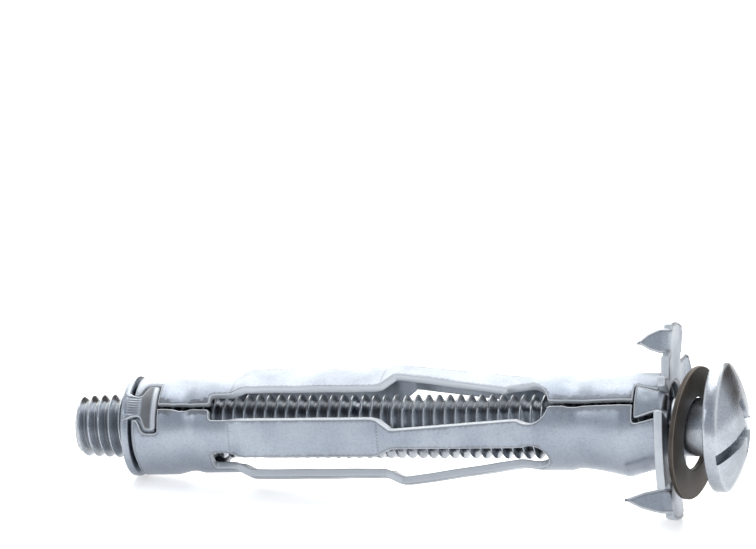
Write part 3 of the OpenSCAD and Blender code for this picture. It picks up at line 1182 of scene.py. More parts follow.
@dataclass
class RearPlate:
    """The nut plate with its drawn collar and its two T-tabs.

    Attributes:
        thick: The plate's thickness.
        rim: Radius of its rim.
        collar_out: Radius of the drawn collar.
        collar_end: Where the collar ends.
        bore: Radius of the bore, which clears the screw's thread.
        tab_radius: Distance of the tabs' outer faces from the axis.
        tab_sheet: The tabs' thickness.
        tab_slip: Angle of the seam's tab in radians, a little off its slot's middle.
        groove: Spacing of the fine grooves that the bending tool leaves.
        around: Points round the axis.
        tee: Shape of the tabs.
    """

    thick: float = 0.75
    rim: float = 4.6
    collar_out: float = 3.65
    collar_end: float = 3.15
    bore: float = 2.98
    tab_radius: float = 4.52
    tab_sheet: float = 0.7
    tab_slip: float = -0.02
    groove: float = 0.25
    around: int = 128
    tee: Tee = field(default_factory=Tee)

    def plate(self) -> Shell:
        """Makes the plate and its collar as one turned ring.

        Returns:
            The ring.
        """
        profile = [
            (self.bore + 0.12, 0.0),
            (self.rim - 0.24, 0.0),
            (self.rim - 0.1, 0.05),
            (self.rim - 0.02, 0.16),
            (self.rim, 0.3),
            (self.rim, self.thick - 0.18),
            (self.rim - 0.05, self.thick - 0.05),
            (self.rim - 0.18, self.thick),
            (self.collar_out + 0.3, self.thick),
            (self.collar_out + 0.08, self.thick + 0.08),
            (self.collar_out, self.thick + 0.3),
            (self.collar_out, self.collar_end - 0.15),
            (self.collar_out - 0.15, self.collar_end),
            (self.bore + 0.12, self.collar_end),
            (self.bore, self.collar_end - 0.1),
            (self.bore, 0.1),
        ]
        return revolved([*profile, profile[0]], self.around)

    @staticmethod
    def marked(across: np.ndarray) -> np.ndarray:
        """Gives 1 over the width that the bending tool marks, and 0 beside it."""
        return smoothstep(0.93, 0.8, np.abs(across))

    def tab(self, turn: float) -> Shell:
        """Makes one T-tab, bent off the plate's rim into the sleeve's slot.

        Args:
            turn: Its angle about the axis.

        Returns:
            The tab.
        """
        start = 0.06
        side = [(self.tee.neck + 0.45, start), (self.tee.neck + 0.3, 0.7), (self.tee.neck, 1.15)]
        side += self.tee.side(start)[1:]
        half = rounded([*side, (0.0, self.tee.end)], 0.32)[:-1]
        outline = [(e, z) for e, z in half] + [(-e, z) for e, z in reversed(half)]
        blank = Sheet(outline, [], self.tab_sheet, edge=0.17, spacing=0.07)

        def fold(across: np.ndarray, z: np.ndarray, depth: np.ndarray) -> np.ndarray:
            """Rolls the tab about the axis, with the marks of its bending tool.

            Args:
                across: Distances from the tab's middle line.
                z: Places along the sleeve.
                depth: Heights over the outer face.

            Returns:
                The places, one a row.
            """
            swell = 0.11 * smoothstep(1.5, 0.5, z) - 0.22 * smoothstep(0.4, 0.0, z) ** 2
            mark_edge = 1.75 + 0.3 * np.sqrt(np.clip(1 - (across / 1.05) ** 2, 0, 1))
            mark = self.marked(across) * smoothstep(0.0, 0.14, mark_edge - z)
            mark = mark * smoothstep(0.12, 0.26, z)
            grooves = mark * (0.06 + 0.016 * np.cos(TURN * across / self.groove))
            radius = self.tab_radius + swell + depth - grooves * (depth > -0.3)
            angle = turn + across / self.tab_radius
            return np.stack([radius * np.cos(angle), radius * np.sin(angle), z], axis=1)

        shell = blank.folded(fold)
        x, y, z = shell.points.T
        across = (np.arctan2(y, x) - turn + math.pi) % TURN - math.pi
        across = across * self.tab_radius
        outer = np.hypot(x, y) > self.tab_radius - 0.15
        # the bar and stripes over the grooves get painted shade, and the edge at the tab's end a painted highlight
        bar = smoothstep(1.75, 2.0, z) * smoothstep(self.tee.end - 0.42, self.tee.end - 0.5, z)
        patch = self.marked(across) * smoothstep(1.7, 1.6, z) * smoothstep(0.1, 0.2, z)
        lines = patch * (0.42 - 0.3 * np.cos(TURN * across / self.groove))
        shell.values["dull"] = np.maximum(shell.values["dull"], (bar + lines) * outer)
        bright = smoothstep(self.tee.end - 0.4, self.tee.end - 0.32, z) * 0.9
        shell.values["edge"] = np.maximum(shell.values["edge"], bright * outer)
        return shell

    def build(self, placing: Matrix, finish: bpy.types.Material) -> bpy.types.Object:
        """Makes and dresses the rear plate's object.

        Args:
            placing: The plate's place.
            finish: Its material.

        Returns:
            The object.
        """
        shell = self.plate()
        for turn in (self.tab_slip, math.pi):
            shell.add(self.tab(turn))
        piece = shell.to_object("rear_plate_body", placing, sharp=50)
        dress(piece, finish, Slot.PLATE, Body.ANCHOR, "rear_plate")
        return piece


# ---------------------------------------------------------------- the front plate


@dataclass
class FrontPlate:
    """The stamped plate: two arms, two wings, four folded claws and two dovetail tabs.

    The blank is drawn with its arms along y and its wings along x.

    Attributes:
        thick: The plate's thickness.
        arm_reach: Where an arm ends.
        arm_half: Half an arm's width at its root.
        wing: How far a wing reaches.
        shoulder: How far the shoulder before it reaches.
        arm_curve: Radius of an arm's curved end.
        wing_start: Where a wing starts along y.
        shoulder_start: Where its shoulder starts.
        hole: Radius of the hole.
        claw_face: Distance of the folded claws' outer faces from the arm's middle line.
        claw_bend: Outer radius of their fold.
        claw_back: Distance from an arm's end back to its claws.
        claw_root: Length of a claw's root.
        claw_long: How far the long claw's tip stands behind the wall face.
        claw_short: How far the short one's does.
        slit: Width of the slit beside a claw's root.
        tab_slip: Angle of the seam's tab in radians, a little off its notch's middle.
        turn: How far the arms are turned about the axis, in radians.
        tab_bend: Outer radius of the tabs' bend.
        tab_radius: Distance of the bent tabs' outer faces from the axis.
        tab_sheet: The tabs' thickness.
        dovetail: Shape of the tabs.
    """

    thick: float = 0.8
    arm_reach: float = 8.95
    arm_half: float = 2.7
    wing: float = 5.9
    shoulder: float = 4.3
    arm_curve: float = 9.05
    wing_start: float = -0.95
    shoulder_start: float = -4.0
    hole: float = 3.54
    claw_face: float = 3.0
    claw_bend: float = 0.9
    claw_back: float = 3.0
    claw_root: float = 2.35
    claw_long: float = 3.5
    claw_short: float = 2.2
    slit: float = 0.15
    tab_slip: float = -0.045
    turn: float = math.radians(23)
    tab_bend: float = 0.85
    tab_radius: float = 4.38
    tab_sheet: float = 0.7
    dovetail: Dovetail = field(default_factory=Dovetail)

    def __post_init__(self) -> None:
        """Works out where the plate's upper face and its claws' folds lie."""
        self.top = WALL_FACE + self.thick
        self.fold_at = self.claw_face - self.claw_bend
        self.claw_start = self.arm_reach - self.claw_back

    def claw_side(self, reach: float) -> Points:
        """Gives an unfolded claw's outline as (distance from the middle, place along the arm).

        Args:
            reach: How far the claw's tip stands behind the wall face.

        Returns:
            The points from the claw's root nearest the axis to its heel.
        """
        bent = self.claw_bend * math.pi / 2
        below = self.fold_at + bent + self.thick - self.claw_bend
        foot = self.claw_start
        heel = foot + self.claw_root
        return [
            (self.fold_at + bent, foot + self.slit),
            (below + 0.45 * reach, foot + self.slit + 0.28),
            (below + reach, heel - 1.25),
            (below + 0.82 * reach, heel - 0.94),
            (below + 0.56 * reach, heel - 0.48),
            (below + 0.3 * reach, heel - 0.21),
            (self.fold_at + bent, heel),
        ]

    def half(self) -> Points:
        """Gives half the blank's outline: the side with one wing, and the whole of one arm.

        Returns:
            The points, running anticlockwise; half a turn about the axis gives the rest.
        """
        inner = self.fold_at + 0.03
        start = self.claw_start
        heel = start + self.claw_root
        away = Vector((math.cos(self.turn), -math.sin(self.turn)))
        along = Vector((math.sin(self.turn), math.cos(self.turn)))
        half_notch = self.dovetail.root + 0.2
        deep = self.tab_radius - self.tab_bend + 0.05
        lower = away * deep - along * half_notch
        upper = away * deep + along * half_notch
        lower_out = (self.shoulder, lower.y - (self.shoulder - lower.x) * math.tan(self.turn))
        upper_out = (upper.x + (upper.y - self.wing_start) / math.tan(self.turn), self.wing_start)
        edge = [
            (self.shoulder, self.shoulder_start),
            lower_out,
            tuple(lower),
            tuple(upper),
            upper_out,
            (self.wing, self.wing_start),
            (self.wing, self.wing_start + 1.75),
            (self.wing - 0.2, self.wing_start + 3.65),
            (self.wing - 0.6, start - 1.35),
            (self.wing - 1.15, start + 0.22),
            (self.arm_half + 0.1, start - 0.3),
        ]
        right = rounded([(self.arm_half, self.shoulder_start), *edge, (inner, start - 0.34)], 0.16)
        right = right + [(inner, start + self.slit)]
        right += rounded(self.claw_side(self.claw_long), 0.1)
        right += [(inner, heel)]
        end = math.degrees(math.asin(inner / self.arm_curve))
        bend = (0.0, self.arm_reach - self.arm_curve)
        right += rounded([
            (inner, heel + 0.02),
            *arc(bend, self.arm_curve, 90 - end, 90 + end, 14),
            (-inner, heel + 0.02),
        ], 0.9)
        left = [(-inner, heel)]
        left += [(-e, y) for e, y in reversed(rounded(self.claw_side(self.claw_short), 0.1))]
        left += [(-inner, start + self.slit), (-inner, start - 0.1), (-self.arm_half, start - 0.1)]
        return right + left

    def fold(self, x: np.ndarray, y: np.ndarray, depth: np.ndarray) -> np.ndarray:
        """Folds the claws back from the arms' edges.

        Args:
            x: Distances across the arms.
            y: Distances along the arms.
            depth: Heights over the upper face.

        Returns:
            The places, one a row.
        """
        past = np.abs(x) - self.fold_at
        # a slanting slit parts each claw from the wing beside it
        foot = self.claw_start - 0.08 + 0.16 * past
        on_claw = (past > 0) & (np.abs(y) > foot) & (np.abs(y) < self.claw_start + self.claw_root + 0.4)
        bend = np.clip(past / self.claw_bend, 0, math.pi / 2)
        below = np.maximum(past - self.claw_bend * math.pi / 2, 0)
        radius = self.claw_bend + depth
        folded_x = np.sign(x) * (self.fold_at + radius * np.sin(bend))
        folded_z = self.top - self.claw_bend + radius * np.cos(bend) - below
        px = np.where(on_claw, folded_x, x)
        # pressing and handling leave the arms' ends and the far wing a little forward
        lean = 0.2 * smoothstep(6.5, self.arm_reach, y) + 0.2 * smoothstep(5.0, self.arm_reach, -y)
        lean = lean + 0.6 * smoothstep(4.0, self.wing, -x) * (np.abs(y) < self.claw_start)
        pz = np.where(on_claw, folded_z + lean, self.top + depth + lean)
        cos, sin = math.cos(self.turn), math.sin(self.turn)
        return np.stack([px * cos - y * sin, px * sin + y * cos, pz], axis=1)

    def tab(self, turn: float) -> Shell:
        """Makes one dovetail tab, bent back from the plate into the sleeve's notch.

        Args:
            turn: Its angle about the axis.

        Returns:
            The tab.
        """
        bent = self.tab_bend * math.pi / 2
        length = bent + self.top - self.tab_bend - self.dovetail.end
        side = [
            (self.dovetail.root, -0.1),
            (self.dovetail.root, bent),
            (self.dovetail.tip + 0.03, length + 0.18),
        ]
        half = rounded([*side, (0.0, length + 0.18)], 0.35)
        outline = [(e, q) for e, q in half] + [(-e, q) for e, q in reversed(half[:-1])]
        blank = Sheet(outline, [], self.tab_sheet, edge=0.16, spacing=0.15)

        def fold(across: np.ndarray, past: np.ndarray, depth: np.ndarray) -> np.ndarray:
            """Bends the tab over the plate's edge and rolls it about the axis.

            Args:
                across: Distances from the tab's middle line.
                past: Distances past the start of the bend.
                depth: Heights over the outer face.

            Returns:
                The places, one a row.
            """
            bend = np.clip(past / self.tab_bend, 0, math.pi / 2)
            below = np.maximum(past - bent, 0)
            dent = 0.05 * np.exp(-((across + 0.5) ** 2 + (below - 1.1) ** 2) / 0.25) * (depth > -0.3)
            dent = dent + 0.012 * np.cos(TURN * below / 0.3) * (depth > -0.1)
            radius = self.tab_bend + depth - dent
            out = self.tab_radius - self.tab_bend + radius * np.sin(bend) + np.minimum(past, 0)
            # the tab's root lies just under the plate's face
            z = self.top - 0.02 - self.tab_bend + radius * np.cos(bend) - below
            angle = turn + across / self.tab_radius
            return np.stack([out * np.cos(angle), out * np.sin(angle), z], axis=1)

        shell = blank.folded(fold)
        # the blank's upper face is the bend's outside, so its winding is turned round
        shell.faces = [tuple(reversed(face)) for face in shell.faces]
        return shell

    def build(self, placing: Matrix, finish: bpy.types.Material) -> bpy.types.Object:
        """Makes and dresses the front plate's object.

        Args:
            placing: The plate's place.
            finish: Its material.

        Returns:
            The object.
        """
        half = self.half()
        outline = half + [(-x, -y) for x, y in half]
        corners = 72
        hole = arc((0, 0), self.hole, 0, 360 - 360 / corners, corners - 1)
        blank = Sheet(outline, [hole], self.thick, edge=0.22, spacing=0.2)
        shell = blank.folded(self.fold)
        for turn in (self.tab_slip, math.pi):
            shell.add(self.tab(turn))
        piece = shell.to_object("front_plate_body", placing, sharp=50)
        dress(piece, finish, Slot.PLATE, Body.ANCHOR, "front_plate")
        return piece


# ---------------------------------------------------------------- the screw


@dataclass
class Screw:
    """The dome-head screw with its rolled thread and its slotted cross recess.

    Attributes:
        length: Length from the tip to the head's underside.
        head_z: Place of the head's underside.
        shank: Radius of the plain shank.
        shank_length: Its length.
        crest: Radius of the thread's crests.
        root: Radius of its root.
        pitch: Its pitch.
        chamfer: Width of the chamfer at the tip.
        head: Radius of the head.
        head_rim: Height of the head's rim.
        head_dome: Height of the dome on it.
        head_taper: How much the rim narrows towards the dome.
        slot_half: Half the slot's width.
        slot_deep: The slot's depth.
        cross_half: Half the width of the cross's arms.
        cross_span: Reach of the cross's arms at the dome; at its floor they reach half as far.
        cross_deep: The cross's depth.
        slot_turn: Angle of the slot about the axis, in radians.
        around: Points round the axis.
        phases: Places of the rows of vertices in one turn of the thread, from 0 to 1.
    """

    length: float = 59.8
    head_z: float = 54.75
    shank: float = 2.65
    shank_length: float = 3.2
    crest: float = 2.925
    root: float = 2.28
    pitch: float = 1.0
    chamfer: float = 0.5
    head: float = 5.9
    head_rim: float = 1.3
    head_dome: float = 1.75
    head_taper: float = 0.15
    slot_half: float = 0.6
    slot_deep: float = 1.9
    cross_half: float = 0.65
    cross_span: float = 3.2
    cross_deep: float = 2.6
    slot_turn: float = math.radians(54)
    around: int = 80
    phases: tuple[float, ...] = (0.0, 0.05, 0.12, 0.27, 0.41, 0.46, 0.54, 0.59, 0.73, 0.88, 0.95)

    def __post_init__(self) -> None:
        """Works out the places along the screw, and the ridge and curve of its dome."""
        self.tip_z = self.head_z - self.length
        self.thread_end = self.head_z - self.shank_length
        self.shoulder = self.head_z + self.head_rim
        self.top = self.head_z + self.head_rim + self.head_dome
        self.ridge = self.head - self.head_taper
        self.dome_curve = (self.ridge ** 2 + self.head_dome ** 2) / (2 * self.head_dome)
        self.tip_flat = min(self.crest - self.chamfer, self.root - 0.02)

    def thread_radius(self, z: np.ndarray, phase: np.ndarray) -> np.ndarray:
        """Gives the thread's surface.

        Args:
            z: Places along the screw.
            phase: Place within one turn of the thread, 0 to 1, with the crest at 0.5.

        Returns:
            The radii.
        """
        # straight flanks that are eased into the crest and the root
        from_crest = np.abs(phase - 0.5) * 2
        ridge = np.interp(from_crest, [0.08, 0.2, 0.8, 0.92, 1.0], [1.0, 0.91, 0.13, 0.02, 0.0])
        # the first turns of a rolled thread are not quite full
        crest = self.crest - 0.14 * smoothstep(self.tip_z + 4.5, self.tip_z, z)
        full = self.root + (crest - self.root) * ridge
        chamfered = self.crest - self.chamfer + (z - self.tip_z)
        full = np.minimum(full, chamfered)
        fading = smoothstep(self.thread_end - 1.3, self.thread_end, z)
        return full * (1 - fading) + self.shank * fading

    def threaded(self) -> Shell:
        """Makes the threaded length as rows that follow the right-hand helix.

        Returns:
            The surface, open at both ends.
        """
        a_pitch = len(self.phases)
        turns = math.ceil(self.thread_end - self.tip_z) + 3
        rows = turns * a_pitch + 1
        # at this place below the tip the crest starts level with the seam
        first = self.tip_z - 1.15 * self.pitch
        number = np.arange(rows)
        phase = np.array(self.phases)[number % a_pitch]
        climb = (number // a_pitch - 1 + phase)[:, None] + np.arange(self.around)[None, :] / self.around
        z = np.clip(first + climb * self.pitch, self.tip_z, self.thread_end)
        radius = self.thread_radius(z, np.broadcast_to(phase[:, None], z.shape))
        radius = np.where(z >= self.thread_end, self.shank, radius)
        radius = np.where(z <= self.tip_z, self.tip_flat, radius)
        angle = np.broadcast_to(np.arange(self.around)[None, :] * TURN / self.around, z.shape)
        points = np.stack([radius * np.cos(angle), radius * np.sin(angle), z], axis=2)
        faces = []
        for i in range(rows - 1):
            for k in range(self.around):
                # past the last column the surface joins the next turn's first one
                wrap = 0 if k + 1 < self.around else a_pitch
                j = (k + 1) % self.around
                low, high = min(i + wrap, rows - 1), min(i + 1 + wrap, rows - 1)
                faces.append((
                    i * self.around + k,
                    low * self.around + j,
                    high * self.around + j,
                    (i + 1) * self.around + k,
                ))
        return Shell(points.reshape(-1, 3), faces)

    def turned(self) -> Shell:
        """Makes the tip, the plain shank and the head.

        Returns:
            The two surfaces, open where the thread joins them.
        """
        start = self.tip_flat
        tip = [(0.0, self.tip_z + 0.02), (start - 0.4, self.tip_z + 0.01), (start, self.tip_z)]
        low = self.head_z
        neck = [
            (self.shank, self.thread_end),
            (self.shank, self.thread_end + 0.8),
            (self.shank, low - 0.35),
            (self.shank + 0.05, low - 0.12),
            (self.shank + 0.2, low - 0.02),
            (self.shank + 0.4, low),
            (self.head - 0.32, low),
            (self.head - 0.14, low + 0.04),
            (self.head - 0.04, low + 0.14),
            (self.head, low + 0.32),
            (self.head, low + 0.8),
            (self.head - 0.02, self.shoulder - 0.32),
            (self.head - 0.07, self.shoulder - 0.14),
            (self.ridge + 0.02, self.shoulder - 0.03),
        ]
        rows = 24
        span = math.asin(self.ridge / self.dome_curve)
        slopes = [span * k / rows for k in range(rows, -1, -1)]
        dome = [
            (self.dome_curve * math.sin(a), self.top - self.dome_curve * (1 - math.cos(a)))
            for a in slopes
        ]
        shell = revolved(tip, self.around)
        shell.add(revolved([*neck, *dome], self.around))
        return shell

    def cutters(self) -> list[bpy.types.Object]:
        """Makes the shapes that are pressed into the head.

        Returns:
            The objects of the slot and of the tapered cross.
        """
        turn = Matrix.Rotation(self.slot_turn, 4, "Z")
        above = self.top + 1

        def block(name: str, low: Points, high: Points, depth: float) -> bpy.types.Object:
            """Makes a block between two outlines with as many corners.

            Args:
                name: The object's name.
                low: The lower outline.
                high: The upper outline, which lies above the head.
                depth: Depth of the lower one below the dome's top.

            Returns:
                The block's object.
            """
            work = bmesh.new()
            verts = [work.verts.new(turn @ Vector((x, y, self.top - depth))) for x, y in low]
            verts += [work.verts.new(turn @ Vector((x, y, above))) for x, y in high]
            count = len(low)
            work.faces.new(list(reversed(verts[:count])))
            work.faces.new(verts[count:])
            for i in range(count):
                j = (i + 1) % count
                work.faces.new([verts[i], verts[j], verts[count + j], verts[count + i]])
            mesh = bpy.data.meshes.new(name)
            work.to_mesh(mesh)
            work.free()
            made = bpy.data.objects.new(name, mesh)
            bpy.context.scene.collection.objects.link(made)
            return made

        def cross(span: float, half: float) -> Points:
            """Gives the outline of a cross.

            Args:
                span: How far its arms reach.
                half: Half their width.

            Returns:
                The corners, running anticlockwise.
            """
            arm = [(span, -half), (span, half), (half, half)]
            return [
                (x * math.cos(q) - y * math.sin(q), x * math.sin(q) + y * math.cos(q))
                for q in (0, math.pi / 2, math.pi, 1.5 * math.pi)
                for x, y in arm
            ]

        long, half = self.head + 1, self.slot_half
        slot = [(-long, -half), (long, -half), (long, half), (-long, half)]
        floor = [(x, y * 0.86) for x, y in slot]
        grow = (above - self.top + self.cross_deep) / self.cross_deep
        inner = cross(self.cross_span * 0.5, self.cross_half * 0.8)
        outer = cross(self.cross_span * 0.5 + self.cross_span * 0.5 * grow, self.cross_half * 1.08)
        return [
            block("recess_slot", floor, slot, self.slot_deep),
            block("recess_cross", inner, outer, self.cross_deep),
        ]

    def build(self, placing: Matrix, finish: bpy.types.Material) -> bpy.types.Object:
        """Makes and dresses the screw's object.

        Args:
            placing: The screw's place.
            finish: Its material.

        Returns:
            The object.
        """
        shell = self.threaded()
        shell.add(self.turned())
        piece = shell.to_object("screw_body", Matrix.Identity(4), sharp=35)
        tools = self.cutters()
        for tool in tools:
            cut = piece.modifiers.new("recess", "BOOLEAN")
            cut.operation, cut.solver, cut.object = "DIFFERENCE", "EXACT", tool
        bpy.context.view_layer.update()
        cut_piece = piece.evaluated_get(bpy.context.evaluated_depsgraph_get())
        cut_mesh = bpy.data.meshes.new_from_object(cut_piece)
        piece.modifiers.clear()
        piece.data = cut_mesh
        for tool in tools:
            bpy.data.objects.remove(tool)
        self.soften(cut_mesh)
        self.paint_marks_and_shading(cut_mesh)
        cut_mesh.transform(placing)
        cut_mesh.shade_smooth()
        cut_mesh.set_sharp_from_angle(angle=math.radians(38))
        dress(piece, finish, Slot.SCREW, Body.SCREW, "screw")
        return piece

    def paint_marks_and_shading(self, mesh: bpy.types.Mesh) -> None:
        """Stores painted highlights on the head's rims, the crests and the recess, and painted shade in the
        grooves.

        Args:
            mesh: The screw's mesh, in millimetres.
        """
        places = np.empty(len(mesh.vertices) * 3)
        mesh.vertices.foreach_get("co", places)
        x, y, z = places.reshape(-1, 3).T
        radius = np.hypot(x, y)
        # painted highlights on the ridge round the dome and on the head's lower rim
        ridge = (np.abs(z - self.shoulder) < 0.12) & (np.abs(radius - self.ridge) < 0.12)
        low_rim_highlight = (z > self.head_z) & (z < self.head_z + 0.3) & (radius > self.head - 0.2)
        edge = np.where(ridge, 1.0, np.where(low_rim_highlight, 0.7, 0.0))
        # painted shade deep in the thread's grooves, and painted highlights on its crests
        depth = (self.crest - radius) / (self.crest - self.root)
        threaded = smoothstep(self.thread_end, self.thread_end - 1.5, z)
        dull = np.clip(depth - 0.3, 0, 1) * 0.7 * threaded
        edge = np.maximum(edge, smoothstep(0.16, 0.04, depth) * threaded * 0.45)
        # a faint even darkening on the plain neck
        neck = (z > self.thread_end) & (radius < self.shank + 0.1)
        dull = np.where(neck, 0.1, dull)
        # the recess's faces get a painted highlight that lifts their shade
        curve = self.dome_curve
        dome = self.top - curve + np.sqrt(np.maximum(curve ** 2 - radius ** 2, 0))
        recess = (z > self.head_z + 0.1) & (z < dome - 0.2) & (radius < self.ridge)
        edge = np.where(recess, 0.55, edge)
        for name, values in (("edge", edge), ("dull", dull)):
            layer = mesh.attributes.new(name, "FLOAT", "POINT")
            layer.data.foreach_set("value", values.astype(np.float32))

    def soften(self, mesh: bpy.types.Mesh) -> None:
        """Rounds the edges of the recess.

        Args:
            mesh: The screw's mesh, in millimetres.
        """
        work = bmesh.new()
        work.from_mesh(mesh)
        bmesh.ops.remove_doubles(work, verts=work.verts, dist=0.004)
        low = max(self.top - self.slot_deep - 1, self.head_z + self.head_rim * 0.9)
        edges = [
            e for e in work.edges
            if len(e.link_faces) == 2
            and min(v.co.z for v in e.verts) > low
            and e.calc_face_angle(0) > math.radians(32)
            and max(math.hypot(v.co.x, v.co.y) for v in e.verts) < self.ridge + 0.02
        ]
        bmesh.ops.bevel(
            work, geom=edges, offset=0.06, segments=2, profile=0.6,
            affect="EDGES", clamp_overlap=True,
        )
        work.to_mesh(mesh)
        work.free()


# ---------------------------------------------------------------- the washer


@dataclass
class Washer:
    """The thin dark washer that hangs on the shank.

    Attributes:
        outer: Radius of its rim.
        hole: Radius of its hole.
        thick: Its thickness.
        edge: Radius of its rounded edges.
        warp: How far it is from flat.
        around: Points round the axis.
    """

    outer: float = 6.05
    hole: float = 3.3
    thick: float = 0.5
    edge: float = 0.12
    warp: float = 0.02
    around: int = 128

    def ring(self) -> Shell:
        """Makes the washer about z.

        Returns:
            The ring, with its rounded edges marked as worn.
        """
        half = self.thick / 2
        steps = 4
        bends = [math.pi / 2 * k / steps for k in range(steps + 1)]
        profile: Points = []
        # out is 1 at the rim and -1 at the hole
        for side, radius, out in (
            (1, self.outer, 1),
            (-1, self.outer, 1),
            (-1, self.hole, -1),
            (1, self.hole, -1),
        ):
            corner = [
                (radius - out * self.edge * (1 - math.cos(a)), side * (half - self.edge * (1 - math.sin(a))))
                for a in bends
            ]
            profile += corner if side != out else corner[::-1]
        shell = revolved([*profile, profile[0]], self.around)
        shell.faces = [tuple(reversed(face)) for face in shell.faces]
        x, y, z = shell.points.T
        height = np.abs(z)
        rounding = (height < half - 0.01) & (height > half - self.edge * 0.9)
        shell.values["edge"] = rounding.astype(float)
        # a stamped washer is never quite flat
        shell.points[:, 2] += self.warp * np.cos(2 * np.arctan2(y, x) + 0.6)
        return shell

    def build(self, finish: bpy.types.Material) -> bpy.types.Object:
        """Makes and dresses the washer's object where the frame has it.

        Args:
            finish: Its material.

        Returns:
            The object.
        """
        node = frame["nodes"]["washer"].data
        places = np.array([v.co for v in node.vertices], float)
        centre = (places.max(0) + places.min(0)) / 2
        # the washer is thinnest along its axis
        spread = np.linalg.svd(places - places.mean(0), full_matrices=False)[2]
        normal = Vector(spread[2])
        if normal.x < 0:
            normal.negate()
        turn = normal.to_track_quat("Z", "Y").to_matrix().to_4x4()
        placing = Matrix.Translation(Vector(centre)) @ turn @ Matrix.Scale(MM, 4)
        piece = self.ring().to_object("washer_body", placing, sharp=50)
        dress(piece, finish, Slot.WASHER, Body.WASHER, "washer")
        return piece


# ---------------------------------------------------------------- floor, light and camera


@dataclass(frozen=True)
class Zone:
    """A soft-edged round patch of the surroundings.

    Attributes:
        towards: Its direction, of length 1.
        spread: Angle in degrees from its middle to its outer edge.
        core: Angle in degrees from its middle to where it has its full colour.
        colour: Its colour.
    """

    towards: tuple[float, float, float]
    spread: float
    core: float
    colour: Colour

    @property
    def outer(self) -> float:
        """Gives the cosine at its outer edge."""
        return math.cos(math.radians(self.spread))

    @property
    def inner(self) -> float:
        """Gives the cosine where it has its full colour."""
        return math.cos(math.radians(self.core))


@dataclass(frozen=True)
class Lamp:
    """A soft lamp that faces the object.

    Attributes:
        name: Its name.
        place: Where it hangs.
        size: Its width and depth.
        power: Its power in watts.
    """

    name: str
    place: tuple[float, float, float]
    size: tuple[float, float]
    power: float

    def hang(self) -> None:
        """Hangs the lamp."""
        data = bpy.data.lights.new(self.name, "AREA")
        data.shape, data.size, data.size_y = "RECTANGLE", *self.size
        data.energy = self.power
        lamp = bpy.data.objects.new(self.name, data)
        lamp.location = self.place
        lamp.rotation_euler = (-Vector(self.place)).to_track_quat("-Z", "Y").to_euler()
        bpy.context.scene.collection.objects.link(lamp)


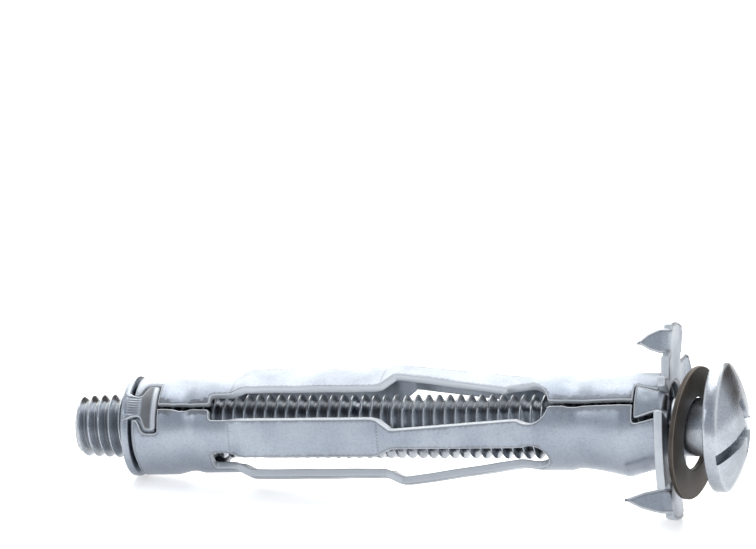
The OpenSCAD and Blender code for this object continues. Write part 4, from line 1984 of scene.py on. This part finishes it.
@dataclass
class Studio:
    """A pale floor, soft surroundings, lamps and the camera.

    Attributes:
        floor_half: Half the floor's side in metres.
        floor_tone: The floor's colour.
        floor_lift: How much brighter the floor is to the camera and in reflections.
        sky_low: Colour of the surroundings at the horizon.
        sky_high: Their colour overhead.
        sky_strength: Their strength.
        zones: Brighter and darker patches of them.
        lamps: The lamps.
        distance: Distance from the camera to the point it aims at, in metres.
        azimuth: The camera's angle about z, from -y towards +x.
        elevation: Its angle over the floor.
        roll: Its turn about the line of sight.
        aim: The point that it aims at.
        focal_pixels: Its focal length in pixels.
        image_width: The rendered image's width in pixels.
    """

    floor_half: float = 6.0
    floor_tone: Colour = (0.74, 0.745, 0.755)
    floor_lift: float = 0.5
    sky_low: Colour = (0.76, 0.79, 0.84)
    sky_high: Colour = (1.0, 1.02, 1.05)
    sky_strength: float = 1.0
    zones: tuple[Zone, ...] = (
        Zone((-0.2, 0.82, 0.536), 47, 18, (2.75, 2.72, 2.6)),
        Zone((-0.2, -0.77, 0.606), 42, 12, (0.5, 0.54, 0.6)),
        Zone((0.36, 0.92, 0.16), 30, 21, (0.13, 0.11, 0.1)),
    )
    lamps: tuple[Lamp, ...] = (
        Lamp("overhead", (-0.05, 0.12, 0.7), (0.5, 0.4), 1.0),
        Lamp("front_left", (-0.5, -0.6, 0.45), (0.3, 0.3), 0.35),
    )
    distance: float = 0.5474
    azimuth: float = math.radians(14.808)
    elevation: float = math.radians(12.415)
    roll: float = math.radians(0.834)
    aim: tuple[float, float, float] = (-0.003764, 0.002198, 0.020023)
    focal_pixels: float = 6000
    image_width: float = 756

    def floor(self) -> None:
        """Lays a wide pale floor."""
        mesh = bpy.data.meshes.new("floor")
        half = self.floor_half
        corners = [(-half, -half, 0), (half, -half, 0), (half, half, 0), (-half, half, 0)]
        mesh.from_pydata(corners, [], [(0, 1, 2, 3)])
        piece = bpy.data.objects.new("floor", mesh)
        bpy.context.scene.collection.objects.link(piece)
        made = bpy.data.materials.new("pale_floor")
        made.use_nodes = True
        graph = Graph(made.node_tree)
        paper = graph.node("ShaderNodeBsdfPrincipled", {}, {
            "Base Color": (*self.floor_tone, 1),
            "Roughness": 0.32,
            "Specular IOR Level": 0.35,
        })
        lit = graph.node("ShaderNodeEmission", {}, {"Color": (1, 1, 1, 1), "Strength": self.floor_lift})
        both = graph.node("ShaderNodeAddShader", {}, {0: paper, 1: lit})
        seen = graph.node("ShaderNodeLightPath", output="Is Camera Ray")
        seen = (seen + seen.other("Is Glossy Ray") + seen.other("Is Transmission Ray")).clamped()
        shader = graph.node("ShaderNodeMixShader", {}, {0: seen, 1: paper, 2: both})
        graph.node("ShaderNodeOutputMaterial", {}, {"Surface": shader})
        mesh.materials.append(made)

    def sky(self) -> None:
        """Sets soft surroundings that brighten upwards, with the zones on them."""
        world = bpy.data.worlds.new("studio")
        bpy.context.scene.world = world
        world.use_nodes = True
        graph = Graph(world.node_tree)
        place = graph.node("ShaderNodeTexCoord", output="Generated")
        height = graph.node("ShaderNodeSeparateXYZ", {}, {0: place}, output="Z")
        colour = graph.blend(height.ramped(0.0, 0.85), self.sky_low, self.sky_high)
        for zone in self.zones:
            settings = {"operation": "DOT_PRODUCT"}
            sockets = {0: place, 1: zone.towards}
            facing = graph.node("ShaderNodeVectorMath", settings, sockets, output="Value")
            colour = graph.blend(facing.ramped(zone.outer, zone.inner), colour, zone.colour)
        shader = graph.node("ShaderNodeBackground", {}, {"Color": colour, "Strength": self.sky_strength})
        graph.node("ShaderNodeOutputWorld", {}, {"Surface": shader})

    def camera(self) -> None:
        """Sets the camera."""
        data = bpy.data.cameras.new("camera")
        data.sensor_width = 36
        data.lens = self.focal_pixels * data.sensor_width / self.image_width
        data.clip_start, data.clip_end = 0.01, 50
        camera = bpy.data.objects.new("camera", data)
        back = Vector((
            math.sin(self.azimuth) * math.cos(self.elevation),
            -math.cos(self.azimuth) * math.cos(self.elevation),
            math.sin(self.elevation),
        ))
        camera.location = Vector(self.aim) + back * self.distance
        facing = back.to_track_quat("Z", "Y").to_matrix()
        turn = Matrix.Rotation(self.roll, 3, back)
        camera.rotation_euler = (turn @ facing).to_euler()
        bpy.context.scene.collection.objects.link(camera)
        bpy.context.scene.camera = camera

    def build(self) -> None:
        """Sets the whole studio up."""
        self.floor()
        self.sky()
        for lamp in self.lamps:
            lamp.hang()
        self.camera()
        bpy.context.scene.view_settings.view_transform = "Standard"


def main() -> None:
    """Builds every piece and the studio in order."""
    logging.basicConfig(level=logging.INFO, format="%(name)s: %(message)s")
    screw = Screw()
    sleeve_place = sleeve_axis().matrix()
    screw_place = screw_axis(screw.head_z).matrix()
    sheet = Zinc("zinc_sheet", roughness=0.28, seam_patched=True, speckle=0.26).material()
    plate = Zinc("zinc_plate", tone=(0.40, 0.435, 0.48)).material()
    thread = Zinc(
        "zinc_screw", tone=(0.47, 0.5, 0.54), cloud=(0.30, 0.325, 0.36), roughness=0.16, mottle=0.2
    ).material()

    pieces = [
        Sleeve().build(sleeve_place, sheet),
        RearPlate().build(screw_place, plate),
        FrontPlate().build(sleeve_place, plate),
        screw.build(screw_place, thread),
        Washer().build(DarkWasherFinish().material()),
    ]
    for piece in pieces:
        log.info("%s: %d faces", piece.name, len(piece.data.polygons))
    Studio().build()


if __name__ == "__main__":
    main()
